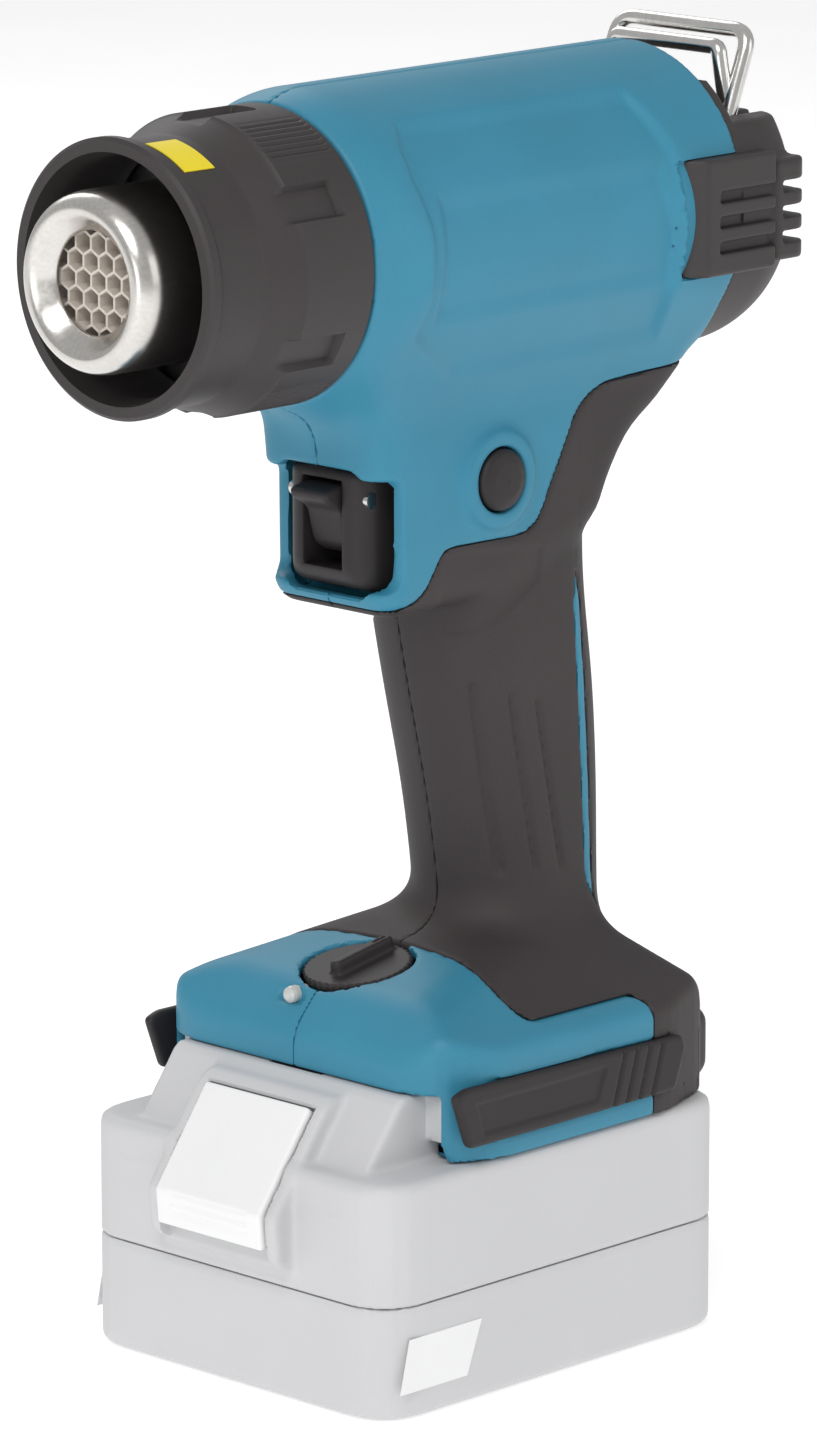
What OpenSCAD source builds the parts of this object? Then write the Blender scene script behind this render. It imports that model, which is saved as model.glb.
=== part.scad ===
// Cordless heat gun with a slide-on battery pack.
// The air axis runs along X and the nozzle blows towards -X. +Z is up.
// The origin is the middle of the battery's underside, where the tool stands.

/* [Barrel] */
// Height of the air axis above the surface the tool stands on
axis_z = 216.5; // [205:0.5:262]
// Outer radius of the barrel
barrel_r = 30.5; // [29:0.5:37]
// Front face of the barrel
barrel_front = -36.7; // [-44:0.1:-34]
// Rear face of the barrel, where the rear cover starts
barrel_rear = 61.8; // [58:0.1:75]
// Radius of the barrel's front shoulder, behind the protector
nose_r = 28.3; // [27.5:0.1:29]
// Wall of the moulded housing
wall = 2.4; // [1.8:0.1:2.9]
// Thickness of the rubber skin over the handle
skin = 2.2; // [1.2:0.1:2.7]

/* [Rear cover] */
// Length of the cover behind the barrel
cover_l = 18.2; // [17:0.1:22]
// Height of the cover's flat shelf above the air axis
shelf_h = 16.5; // [15.5:0.1:18]
// Height of one air slot
slot_h = 2.3; // [1.5:0.1:2.8]
// Distance from one air slot to the next
slot_pitch = 4.9; // [4.2:0.1:5.1]
// How far the side ribs stand out from the middle plane
rib_y = 31; // [30:0.1:34]

/* [Protector and nozzle] */
// Radius of the protector's flange
flange_r = 26.1; // [25:0.1:29]
// Radius of the protector's mouth
mouth_r = 22.4; // [20:0.1:23.5]
// Radius of the protector's grip ring
grip_r = 28.3; // [27.8:0.1:30]
// Length of the protector from its flange to its rear face
protector_l = 39.8; // [36:0.1:48]
// Radius of the nozzle tube, which push-on nozzles slide over
nozzle_r = 17; // [14:0.1:17.5]
// How far the nozzle stands out of the protector
nozzle_out = 8.4; // [4:0.1:14]
// Radius of the opening that the air leaves by
outlet_r = 9.7; // [6:0.1:11]
// How far the protector turns to unlock
twist = 30; // [24:1:36]

/* [Handle] */
// Width of the handle
handle_w = 33; // [32:0.5:40]
// Width of the neck between handle and barrel
neck_w = 34; // [33:0.5:40]
// Foremost point of the handle at its lower end
handle_front_x = 9.1; // [4:0.1:12]
// Rearmost point of the handle at its lower end
handle_back_x = 45.9; // [43:0.1:49]
// Forward lean of the handle's front, in degrees
front_lean = 11.6; // [9:0.1:12]
// Forward lean of the handle's back, in degrees
back_lean = 4.4; // [2:0.1:5]

/* [Trigger] */
// Height of the trigger
trigger_h = 24; // [20:0.5:24.5]
// Width of the trigger
trigger_w = 21; // [18:0.5:21.5]
// Travel of the trigger
trigger_travel = 6; // [3:0.1:7]
// Angle that the lock-off lever swings through
lever_swing = 12; // [6:1:13]
// Radius of the lever's steel pin
lever_pin_r = 1.5; // [1:0.1:1.6]
// Radius of the lock button on the left side
button_r = 6; // [4:0.1:6.5]
// Travel of the lock button
button_travel = 2; // [1:0.1:2.5]

/* [Foot] */
// Height of the foot's lower edge
rail_z = 46.3; // [44:0.1:56]
// Radius of the temperature dial
dial_r = 10.6; // [7:0.1:10.8]
// Slope of the foot's top, in degrees
foot_slope = 10; // [8:0.5:12]

/* [Battery] */
// Length of the battery pack
pack_l = 96.2; // [94:0.1:120]
// Width of the battery pack
pack_w = 82.2; // [74:0.1:100]
// Radius of the pack's upright edges
pack_edge_r = 8; // [4:0.5:12]
// Wall of the pack's case
pack_wall = 2; // [1.5:0.1:2]
// Radius of one cell
cell_r = 9; // [8:0.1:9.1]
// Length of one cell
cell_l = 65; // [50:0.5:68]

/* [Hook] */
// Radius of the hook's wire
wire_r = 1.6; // [1.2:0.1:1.7]
// Height of the hook's bar above its hinge
hook_h = 20.3; // [16:0.1:26]
// Half the width of the hook
hook_y = 17; // [16.6:0.1:17.2]

/* [Fits] */
// Radial clearance of a pin or shaft that turns
run_gap = 0.05; // [0.02:0.01:0.09]
// Gap between pieces that move past each other
slide_gap = 0.4; // [0.3:0.05:0.5]

/* [Hidden] */
eps = 0.01;
far = 200;
round_fn = 96;
slice = 0.4;              // thickness of the levels that the foot is drawn over

// colours
teal = [0.25, 0.53, 0.65];
rubber = [0.22, 0.21, 0.21];
steel = [0.75, 0.75, 0.76];
board_green = [0.16, 0.4, 0.25];
copper = [0.78, 0.5, 0.3];
pack_grey = [0.82, 0.82, 0.82];

// along the air axis
cover_end = barrel_rear + cover_l;
protector_rear = barrel_front - 0.3;
flange_x = protector_rear - protector_l;
nozzle_tip = flange_x - nozzle_out;
shoulder_x = barrel_front + 7;
cavity_r = barrel_r - wall;
ring_bore = 25;          // opening in the barrel's front wall
ring_r = ring_bore - 0.2;
ring_front = barrel_front - 15.3;
ring_plate = 2.5;
ring_inner_r = ring_r - 3;
lug_x = ring_front + 4;  // bayonet lugs
lug_l = 2.7;
lug_r = ring_r + 1.6;
lug_angle = 20;
nozzle_seat_r = nozzle_r - 0.4;
tube_wall = 0.8;
tube_r = nozzle_r - 1.8;
sleeve_r = tube_r - tube_wall - 0.2;
core_r = sleeve_r - tube_wall - 0.2;
core_front = nozzle_tip + 5;
core_l = 14;
former_front = core_front + core_l + 2;
former_end = barrel_front + 2.7;
former_h = core_r - 2.8;
coil_ring_r = former_h + 1;
coil_wire_r = 0.6;
tube_end = barrel_front + 6.7;

// motor and fan
duct_end = 10;
duct_r = 26.8;
duct_wall = 1.6;
can_r = 13;
can_front = 14;
can_rear = 46;
can_wall = 0.8;
shaft_r = 1.5;
bush_r = 4;
fan_r = 19.5;
fan_front = can_rear + 4;
shroud_r = fan_r + 0.8;
shroud_front = can_rear + 1;
shroud_flange = [fan_front + 3, fan_front + 7];
screw_circle = 22.8;
cover_screw_angles = [25, 155, 215, 325];

// rear cover
cover_r = barrel_r - 0.3;
cover_cavity_r = 25.6;
cover_wall = 2.4;
shelf_z = axis_z + shelf_h;
slots_z = [for (i = [0:2]) axis_z + 3.6 - i * slot_pitch];
ribs_z = [slots_z[2] - 4.6, slots_z[0] + 5.4];

// hook
hinge_x = barrel_rear + 8.2;
hinge_z = shelf_z - 5;
bar_x = hinge_x + 8;
bar_z = hinge_z + hook_h;

// trigger and its surroundings
trigger_front = -23;
trigger_back = -6;
trigger_round = 5;
trigger_z = axis_z - 54.2;
trigger_lo = trigger_z - trigger_h / 2;
trigger_hi = trigger_z + trigger_h / 2;
pin_x = -19.8;
pin_z = trigger_z + 6.5;
lever_w = 9.6;
lever_slot_back = -9.5;
plunger_z = trigger_z + 0.7;
plunger_r = 2;
switch_x = [trigger_back + 8.5, trigger_back + 36];
switch_w = 18;
switch_z = [trigger_z - 10.3, trigger_z + 9.7];
button_x = 6.8;
button_z = trigger_z + 7.9;
button_face = neck_w / 2 + 3.3;
collar_r = button_r + 3.5;
collar_h = 1.6;
neck_lo = trigger_z - 16.3;

// foot: all heights follow the rail's lower edge
deck_z = rail_z + 13;        // underside of the foot, over the battery
band_z = rail_z + 19.7;      // top of the upright band
ridge_z = rail_z + 28.2;     // front ridge
foot_front = -31;
ridge_x = -23.5;
foot_top_z = ridge_z + (handle_front_x - ridge_x) * tan(foot_slope);
handle_z = rail_z + 39.7;    // height at which the handle's widths are given
foot_w = pack_w;
foot_back = pack_l / 2 + 1.9;
bump_back = foot_back + 4.5;
floor_z = deck_z + wall;
channel_w = foot_w - 11.2;
dial_x = -13.4;
dial_z = ridge_z + (dial_x - ridge_x) * tan(foot_slope) - 0.2;
led_at = [ridge_x - 1.7, 5, ridge_z - 3];

// battery
pack_h = rail_z - 0.4;       // top of the pack's body
pack_split = pack_h * 0.48;
pack_top = deck_z - 0.4;
rail_in = 4.6;               // depth of the pack's side grooves
cell_pitch = 2 * cell_r + 0.3;
cell_z = [pack_wall + 0.4 + cell_r, pack_wall + 0.4 + cell_r + 2 * cell_r + 0.4];
cell_cols = 5;
board_z = cell_z[1] + cell_r + 1.2;
blade_ys = [-14, -5, 0, 5, 14];
blade_x = [8, 30];
blade_lo = pack_top - 8.4;
release_x = -pack_l / 2 - 6.1;
release_w = 28;
latch_w = 13;
latch_top = deck_z + 0.9;
release_travel = 3;

screw_spots = [
  [-17, axis_z - 30.5], [34, axis_z - 32.5], [34.6, trigger_z - 11.3],
  [36, handle_z + 26], [20, handle_z + 2], [42.3, floor_z + 4.2]
];
screw_shank_r = 1.25;
screw_head_r = 2.8;
boss_r = 3.4;
boss_y = handle_w / 2 - 3.5;

// ---------- shapes used by several pieces ----------

// a turned solid round the air axis, from [x, radius] points
module lathe(points) {
  translate([0, 0, axis_z]) rotate([0, 90, 0])
    rotate_extrude($fn = round_fn) polygon([for (p = points) [p[1], p[0]]]);
}

// a ring round the air axis
module ring(x0, x1, r_out, r_in) {
  lathe([[x0, r_in], [x0, r_out], [x1, r_out], [x1, r_in]]);
}

// a side outline of [x, z] points, extruded across Y
module plate(points, y0, y1) {
  translate([0, y1, 0]) rotate([90, 0, 0]) linear_extrude(y1 - y0) polygon(points);
}

// a cylinder across Y
module bar(x, z, r, y0, y1) {
  translate([x, y1, z]) rotate([90, 0, 0]) cylinder(r = r, h = y1 - y0, $fn = round_fn);
}

// a box from its two corners
module block(a, b) {
  translate(a) cube([b[0] - a[0], b[1] - a[1], b[2] - a[2]]);
}

// a round wire through points
module wire(points, r) {
  for (i = [0:len(points) - 2]) {
    d = points[i + 1] - points[i];
    translate(points[i]) rotate([0, atan2(norm([d[0], d[1]]), d[2]), atan2(d[1], d[0])])
      cylinder(r = r, h = norm(d), $fn = 48);
  }
  for (i = [1:len(points) - 2]) translate(points[i]) sphere(r = r * 1.03, $fn = 48);
}

module half(side) {
  translate([-far, side < 0 ? -far : 0, -1]) cube([2 * far, far, 2 * far]);
}

// an upright prism with rounded corners, centred on the origin
module rounded_box(l, w, r, z0, z1) {
  translate([0, 0, z0]) linear_extrude(z1 - z0) {
    square([l - 2 * r, w], center = true);
    square([l, w - 2 * r], center = true);
    for (x = [-1, 1], y = [-1, 1])
      translate([x * (l / 2 - r), y * (w / 2 - r)]) circle(r = r, $fn = round_fn);
  }
}

// ---------- the tool's outer form, drawn in by d on every side ----------

module barrel_form(d) {
  lathe([
    [barrel_front + d, 0], [barrel_front + d, nose_r - d], [shoulder_x, barrel_r - d],
    [barrel_rear, barrel_r - d], [barrel_rear, 0]
  ]);
}

module neck_form(d) {
  plate([
    [-27 + d, axis_z - 26], [-22.5 + d, trigger_hi + 1], [-20.5 + d, neck_lo + d],
    [6, neck_lo + d], [38.5 - d, trigger_z - 4], [41.5 - d, trigger_z + 4],
    [47 - d, trigger_z + 11], [58 - d, trigger_z + 17], [60 - d, trigger_z + 24],
    [60 - d, axis_z - 12], [-27 + d, axis_z - 12]
  ], -neck_w / 2 + d, neck_w / 2 - d);
}

// one side of the handle: a prism with a round edge that leans forward
module handle_face(d, edge_x, lean, toward) {
  translate([edge_x, 0, handle_z]) rotate([0, -lean, 0])
    translate([0, 0, -32]) linear_extrude(140) {
      translate([toward * handle_w / 2, 0]) circle(r = handle_w / 2 - d, $fn = round_fn);
      translate([toward > 0 ? handle_w / 2 : -60 - handle_w / 2, -handle_w / 2 + d])
        square([60, handle_w - 2 * d]);
    }
}

module handle_form(d) {
  intersection() {
    handle_face(d, handle_front_x, front_lean, 1);
    handle_face(d, handle_back_x, back_lean, -1);
    block([-60, -60, floor_z], [90, 60, axis_z - 28]);
  }
}

// the foot seen from above
function foot_plan(d, w) = [
  [foot_front + d, -w / 2 + 14], [-27 + d, -w / 2 + 6 + d], [-17, -w / 2 + d],
  [30, -w / 2 + d], [foot_back - 3 - d, -w / 2 + 8 + d], [foot_back - d, -w / 2 + 13],
  [foot_back - d, w / 2 - 13], [foot_back - 3 - d, w / 2 - 8 - d], [30, w / 2 - d],
  [-17, w / 2 - d], [-27 + d, w / 2 - 6 - d], [foot_front + d, w / 2 - 14]
];

// the foot's top level, where the handle stands on it
function collar_plan(x0, x1, y) = [
  [x0, -6], [x0 + 7, -y], [x1 - 7, -y], [x1, -6], [x1, 6], [x1 - 7, y], [x0 + 7, y], [x0, 6]
];

module foot_form(d, z0) {
  hull() {
    translate([0, 0, z0]) linear_extrude(band_z - z0) polygon(foot_plan(d, foot_w));
    translate([0, 0, ridge_z - d - slice]) linear_extrude(slice)
      polygon([[ridge_x + d, -foot_w / 2 + 14 + d], [ridge_x + d, foot_w / 2 - 14 - d],
               [40, foot_w / 2 - 14 - d], [40, -foot_w / 2 + 14 + d]]);
    translate([0, 0, foot_top_z + 1 - d - slice]) linear_extrude(slice)
      polygon(collar_plan(handle_front_x + d, handle_back_x - d, handle_w / 2 - d));
  }
}

module rear_bump(d) {
  plate([
    [foot_back - 4, rail_z], [bump_back - 2 - d, rail_z], [bump_back - d, rail_z + 4],
    [bump_back - d, rail_z + 11], [foot_back - d, rail_z + 15.5], [foot_back - 4, rail_z + 15.5]
  ], -foot_w / 2 + 10 + d, foot_w / 2 - 10 - d);
}

module button_collar() {
  bar(button_x, button_z, collar_r, -neck_w / 2 - collar_h, -neck_w / 2 + eps);
}

module outer_form() {
  barrel_form(0);
  neck_form(0);
  handle_form(0);
  foot_form(0, rail_z);
  rear_bump(0);
  button_collar();
}

// the hollow inside the housing
module cavity() {
  difference() {
    union() {
      barrel_form(wall);
      lathe([[barrel_rear - 5, 0], [barrel_rear - 5, cavity_r],
             [barrel_rear + 1, cavity_r], [barrel_rear + 1, 0]]);
      neck_form(wall);
      handle_form(wall + skin);
      foot_form(wall + skin, floor_z);
    }
    for (s = screw_spots) bar(s[0], s[1], boss_r, -boss_y - 3, boss_y + 3);
  }
}

// the side view of the rubber grip's area
module grip_zone() {
  plate([
    [75, axis_z - 29.5], [36, axis_z - 31.5], [30, axis_z - 35.5],
    [19, trigger_z - 1.6], [15, trigger_z - 3.8], [-7, trigger_z - 3.6],
    [-9.5, trigger_z - 7.3], [-13, trigger_z - 12.8], [-16, trigger_z - 15],
    [-32, trigger_z - 16.3], [-32, ridge_z + 14], [-2, ridge_z + 12],
    [-2, band_z + 3.2], [29.5, band_z + 3.2], [29.5, rail_z - 4], [75, rail_z - 4]
  ], -60, 60);
}

module grip_core() {
  neck_form(skin);
  handle_form(skin);
  foot_form(skin, rail_z - 1);
  barrel_form(0);
}

module grip_skin() {
  difference() {
    intersection() {
      union() {
        neck_form(0);
        handle_form(0);
        foot_form(0, rail_z);
        rear_bump(0);
      }
      grip_zone();
    }
    grip_core();
    battery_channel();
    foot_front_cut();
  }
}

// the space the battery's upper part slides in
module battery_channel() {
  block([foot_front - 20, -channel_w / 2, rail_z - 1],
        [pack_l / 2 - 3.4, channel_w / 2, deck_z]);
}

module rail_lips() {
  for (s = [-1, 1]) scale([1, s, 1])
    block([-24, channel_w / 2 - 4.2, rail_z], [pack_l / 2 - 3, channel_w / 2 + 0.5, rail_z + 2.7]);
}

module foot_front_cut() {
  plate([
    [foot_front - 20, deck_z - 0.3], [foot_front - 2, deck_z - 0.3],
    [foot_front + 6, rail_z - 1.5], [foot_front - 20, rail_z - 1.5]
  ], -60, 60);
}

module on_dial() {
  translate([dial_x, 0, dial_z]) rotate([0, -foot_slope, 0]) children();
}

module bumper_outline(grow) {
  // grow widens the pocket that the rubber pad sits in
  plate([
    [-29.5 - grow, rail_z + 13.7 + grow], [-26 - grow, rail_z + 3.7 - grow],
    [31 + grow, rail_z + 4.2 - grow], [34 + grow, rail_z + 12.2],
    [33, rail_z + 14.7 + grow], [-27, rail_z + 15.5 + grow]
  ], foot_w / 2 - 1.2 - grow, foot_w / 2 + 1.5);
}

module housing_cuts() {
  // bore in the barrel's front wall, for the nose ring
  lathe([[barrel_front - 1, 0], [barrel_front - 1, ring_bore],
         [barrel_front + wall + 1, ring_bore], [barrel_front + wall + 1, 0]]);
  // trigger pocket, and the sides cut back so that the trigger shows
  block([-60, -trigger_w / 2 - slide_gap, trigger_lo - slide_gap],
        [-12, trigger_w / 2 + slide_gap, trigger_hi + slide_gap]);
  plate([
    [-60, trigger_lo - slide_gap], [-18, trigger_lo - slide_gap], [-16, trigger_lo + 2.4],
    [-16, trigger_hi - 2.4], [-18, trigger_hi + slide_gap], [-60, trigger_hi + slide_gap]
  ], -60, 60);
  // lock button
  bar(button_x, button_z, button_r + slide_gap, -40, -neck_w / 2 + wall + 1);
  // dial recess and the hole for its stem
  on_dial() {
    translate([0, 0, -2.2]) cylinder(r = dial_r + 1.2, h = 20, $fn = round_fn);
    translate([0, 0, -9]) cylinder(r = 3, h = 10, $fn = round_fn);
  }
  // lamp recess and the hole for the lamp
  block([foot_front - 5, led_at[1] - 3.5, led_at[2] - 2], [led_at[0], led_at[1] + 3.5, ridge_z + 5]);
  translate(led_at + [-1, 0, 0]) rotate([0, 90, 0]) cylinder(r = 1.75, h = 8, $fn = round_fn);
  // opening for the terminal block, and the groove for the battery's latch
  block([3.8, -24.2, deck_z - 1], [38.2, 24.2, floor_z + 1]);
  block([foot_front - 5, -latch_w / 2 - 0.5, deck_z - 1], [-22, latch_w / 2 + 0.5, latch_top + slide_gap]);
  foot_front_cut();
  // pockets of the side pads
  bumper_outline(0);
  mirror([0, 1, 0]) bumper_outline(0);
}

module screw_holes() {
  for (s = screw_spots) {
    bar(s[0], s[1], screw_shank_r, -boss_y + 1, 0);
    bar(s[0], s[1], screw_shank_r + 0.2, -eps, boss_y);
    bar(s[0], s[1], screw_head_r + 0.2, boss_y - 2.5, 60);
  }
}

module housing_half(side) {
  intersection() {
    difference() {
      union() {
        difference() {
          outer_form();
          cavity();
          battery_channel();
        }
        rail_lips();
      }
      grip_skin();
      housing_cuts();
      screw_holes();
    }
    half(side);
  }
}

// ---------- housing ----------

module left_housing() color(teal) housing_half(-1);
module right_housing() color(teal) housing_half(1);

module grip_half(side) {
  intersection() {
    difference() {
      grip_skin();
      screw_holes();
      bumper_outline(0);
      mirror([0, 1, 0]) bumper_outline(0);
    }
    half(side);
  }
}
module left_grip() color(rubber) grip_half(-1);
module right_grip() color(rubber) grip_half(1);

module cover_bosses(r, x0, x1) {
  for (a = cover_screw_angles)
    translate([x0, screw_circle * cos(a), axis_z + screw_circle * sin(a)])
      rotate([0, 90, 0]) cylinder(r = r, h = x1 - x0, $fn = round_fn);
}

module rear_cover() color(rubber) {
  difference() {
    union() {
      difference() {
        union() {
          lathe([[barrel_rear, 0], [barrel_rear, cover_r], [cover_end - 8, cover_r - 0.6],
                 [cover_end - 2, cover_r - 2], [cover_end, cover_r - 4], [cover_end, 0]]);
          block([barrel_rear + 8.5, -rib_y, ribs_z[0]], [cover_end, rib_y, ribs_z[1]]);
        }
        block([barrel_rear + 2.6, -60, shelf_z], [cover_end + 1, 60, axis_z + 60]);
        intersection() {
          lathe([[barrel_rear - 1, 0], [barrel_rear - 1, cover_cavity_r],
                 [cover_end - cover_wall, cover_cavity_r], [cover_end - cover_wall, 0]]);
          block([-far, -60, 0], [far, 60, shelf_z - 2.2]);
        }
      }
      // spigot that centres the cover in the barrel
      ring(barrel_rear - 4, barrel_rear + eps, cavity_r - 0.1, cover_cavity_r);
      cover_bosses(3, barrel_rear, cover_end - 1);
    }
    for (z = slots_z, s = [-1, 1])
      scale([1, s, 1])
        block([cover_end - 7.5, 1.6, z - slot_h / 2], [cover_end + 1, rib_y + 1, z + slot_h / 2]);
    cover_bosses(1.4, barrel_rear - 5, cover_end);
    cover_bosses(2.4, cover_end - 5, cover_end + 1);
    // slots for the hook's legs
    for (s = [-1, 1]) scale([1, s, 1])
      block([hinge_x - 2.4, hook_y - 3.8, hinge_z - 2], [cover_end + 1, hook_y + 2, axis_z + 60]);
  }
}

module vent_guard() {
  difference() {
    plate([
      [barrel_rear - 15.5, ribs_z[0]], [barrel_rear + 8.4, ribs_z[0]],
      [barrel_rear + 8.4, ribs_z[1]], [barrel_rear - 16.5, ribs_z[1]]
    ], barrel_r - 4.5, rib_y + 0.6);
    lathe([[-80, 0], [-80, barrel_r], [far, barrel_r], [far, 0]]);
    for (z = slots_z)
      block([barrel_rear - 9, rib_y - 0.6, z - slot_h / 2], [far, rib_y + 2, z + slot_h / 2]);
    translate([barrel_rear - 16, rib_y - 1.5, axis_z - 30]) rotate([0, 0, 40])
      translate([-10, 0, 0]) cube([14, 10, 60]);
  }
}
module left_vent_guard() color(rubber) mirror([0, 1, 0]) vent_guard();
module right_vent_guard() color(rubber) vent_guard();

// ---------- protector, nozzle and heater ----------

module lugs(r, x0, x1, angle, turn) {
  for (i = [0:2])
    intersection() {
      ring(x0, x1, r, ring_r - 0.6);
      translate([0, 0, axis_z]) rotate([90 + turn + i * 120, 0, 0])
        rotate([0, 90, 0]) translate([0, 0, x0 - 1]) linear_extrude(x1 - x0 + 2)
          polygon([[0, 0], [40, -40 * tan(angle / 2)], [40, 40 * tan(angle / 2)]]);
    }
}

module nose_ring() color(steel) {
  lathe([
    [ring_front, nozzle_seat_r + 0.05], [ring_front, ring_r],
    [barrel_front + wall + 0.1, ring_r], [barrel_front + wall + 0.1, ring_r + 0.9],
    [barrel_front + wall + 2.6, ring_r + 0.9], [barrel_front + wall + 2.6, ring_inner_r],
    [ring_front + ring_plate, ring_inner_r], [ring_front + ring_plate, nozzle_seat_r + 0.05]
  ]);
  lugs(lug_r, lug_x, lug_x + lug_l, lug_angle, 0);
}

recess_n = 6;
recess_x = [protector_rear - 21.4, protector_rear - 6.4];

module protector() color(rubber) {
  bore = ring_r + 0.3;
  groove = lug_r + slide_gap;
  cone_x = protector_rear - 25;
  grip_x = protector_rear - 17.7;
  difference() {
    lathe([
      [flange_x, mouth_r], [flange_x, flange_r - 0.8], [flange_x + 0.8, flange_r],
      [flange_x + 3, flange_r], [flange_x + 4, flange_r - 1.3], [cone_x, flange_r - 1.3],
      [grip_x, grip_r - 0.3], [grip_x + 0.6, grip_r], [protector_rear - 0.6, grip_r],
      [protector_rear, grip_r - 0.6], [protector_rear, bore],
      [ring_front - 2, bore], [ring_front - 4, mouth_r]
    ]);
    ring(lug_x - slide_gap, lug_x + lug_l + slide_gap, groove, bore - 1);
    lugs(groove, lug_x, protector_rear + 1, lug_angle + 5, twist);
    for (i = [0:recess_n - 1])
      translate([0, 0, axis_z]) rotate([30 + i * 360 / recess_n, 0, 0])
        block([recess_x[0], grip_r - 1.1, -3.3], [recess_x[1], grip_r + 4, 3.3]);
  }
}

module warning_label() color([0.96, 0.85, 0.1]) {
  r = flange_r - 1.3;
  intersection() {
    ring(flange_x + 4.6, flange_x + 12.4, r + 0.2, r);
    translate([flange_x, 0, axis_z]) rotate([22, 0, 0]) translate([0, -5.5, 0]) cube([20, 11, 40]);
  }
}

module nozzle() color(steel) {
  t = tube_wall;
  lathe([
    [tube_end - 8, nozzle_seat_r], [tube_end - 8, nozzle_seat_r - t],
    [nozzle_tip + 5.6, nozzle_seat_r - t], [nozzle_tip + 2.2, nozzle_r - 2.2],
    [nozzle_tip + 1.2, nozzle_r - 3.6], [nozzle_tip + 4.6, outlet_r],
    [nozzle_tip + 3.8, outlet_r], [nozzle_tip + 0.2, nozzle_r - 3.8],
    [nozzle_tip, nozzle_r - 3], [nozzle_tip + 0.5, nozzle_r - 2],
    [nozzle_tip + 2.6, nozzle_r - 0.7], [nozzle_tip + 5, nozzle_r],
    [ring_front - 1, nozzle_r], [ring_front - 1, nozzle_seat_r]
  ]);
}

module honeycomb_core() color([0.85, 0.83, 0.8]) {
  pitch = 4;
  difference() {
    ring(core_front, core_front + core_l, core_r, 0);
    for (i = [-3:3], j = [-3:3])
      if (norm([(i + j / 2) * pitch, j * pitch * 0.866]) < core_r - 2.2)
        translate([core_front - 1, (i + j / 2) * pitch, axis_z + j * pitch * 0.866])
          rotate([0, 90, 0]) rotate([0, 0, 0])
            linear_extrude(core_l + 2) circle(r = 2.02, $fn = 6);
  }
}

module mica_sleeve() color([0.8, 0.74, 0.6])
  ring(core_front, former_end, sleeve_r, sleeve_r - tube_wall);

module heater_tube() color(steel)
  ring(core_front, tube_end, tube_r, tube_r - tube_wall);

module mica_former() color([0.8, 0.74, 0.6]) {
  block([former_front, -0.6, axis_z - former_h], [former_end, 0.6, axis_z + former_h]);
  block([former_front, -former_h, axis_z - 0.6], [former_end, former_h, axis_z + 0.6]);
}

module heating_coil() color(copper) {
  step = 3.6;
  for (x = [former_front + 2:step:former_end - 2])
    translate([x, 0, axis_z]) rotate([0, 90, 0])
      rotate_extrude($fn = round_fn) translate([coil_ring_r, 0]) circle(r = coil_wire_r, $fn = 24);
}

module thermal_fuse() color(copper)
  translate([former_end + 0.4, 4, axis_z + 4]) rotate([0, 90, 0]) cylinder(r = 1.4, h = 9, $fn = 32);

// ---------- air path, motor and fan ----------

module air_duct() color([0.3, 0.3, 0.32])
  lathe([
    [tube_end - 1.6, tube_r + 0.1], [tube_end - 1.6, tube_r + duct_wall],
    [tube_end + 6, tube_r + duct_wall], [duct_end - 6, duct_r],
    [duct_end, duct_r], [duct_end, duct_r - duct_wall],
    [duct_end - 6, duct_r - duct_wall], [tube_end + 6, tube_r + 0.1]
  ]);

module motor_mount() color([0.3, 0.3, 0.32]) {
  x0 = duct_end + 0.1;
  ring(x0, x0 + 5, duct_r, duct_r - 2);
  ring(x0 + 2, x0 + 10, can_r + 2, can_r);
  for (i = [0:3])
    translate([0, 0, axis_z]) rotate([45 + 90 * i, 0, 0])
      block([x0 + 2, can_r + 1, -1.2], [x0 + 5, duct_r - 1, 1.2]);
}

module motor_can() color(steel)
  difference() {
    ring(can_front, can_rear, can_r, bush_r);
    ring(can_front + 2, can_rear - 2, can_r - can_wall, 0);
  }

module motor_bushes() color([0.7, 0.55, 0.3]) {
  ring(can_front, can_front + 2, bush_r, shaft_r + run_gap);
  ring(can_rear - 2, can_rear, bush_r, shaft_r + run_gap);
}

module motor_armature() color(copper)
  difference() {
    ring(can_front + 5, can_rear - 6, can_r - can_wall - 1, shaft_r);
    for (i = [0:6])
      translate([0, 0, axis_z]) rotate([i * 360 / 7, 0, 0])
        block([can_front, 6, -0.8], [can_rear, 20, 0.8]);
  }

module motor_shaft() color(steel)
  ring(can_front - 2, fan_front + 10, shaft_r, 0);

module fan_impeller() color([0.3, 0.3, 0.32]) {
  hub_r = 7;
  blades = 9;
  ring(fan_front, fan_front + 9, hub_r, shaft_r);
  for (i = [0:blades - 1])
    intersection() {
      translate([0, 0, axis_z]) rotate([i * 360 / blades, 0, 0])
        translate([fan_front + 4.5, 0, 0]) rotate([0, 0, 35])
          block([-4.4, -0.7, hub_r - 1], [4.4, 0.7, fan_r + 2]);
      ring(fan_front, fan_front + 9, fan_r, hub_r - 1.5);
    }
}

module fan_shroud() color([0.3, 0.3, 0.32])
  difference() {
    union() {
      ring(shroud_front, shroud_flange[1], shroud_r + 1.3, shroud_r);
      ring(shroud_flange[0], shroud_flange[1], cavity_r - 0.1, shroud_r);
    }
    cover_bosses(1.2, shroud_flange[0] - 1, shroud_flange[1] + 1);
  }

// ---------- hook ----------

module hook_bracket() color(steel) {
  ear = [hook_y - 5.2, hook_y - 2.4];
  top = shelf_z - 2.2;
  difference() {
    union() {
      block([hinge_x - 3.5, -ear[1], top - 6.2], [hinge_x + 3.5, ear[1], top - 5.2]);
      for (s = [-1, 1]) scale([1, s, 1])
        block([hinge_x - 3.5, ear[0], top - 6], [hinge_x + 3.5, ear[1], top]);
    }
    bar(hinge_x, hinge_z, wire_r + run_gap, -60, 60);
  }
}

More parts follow.
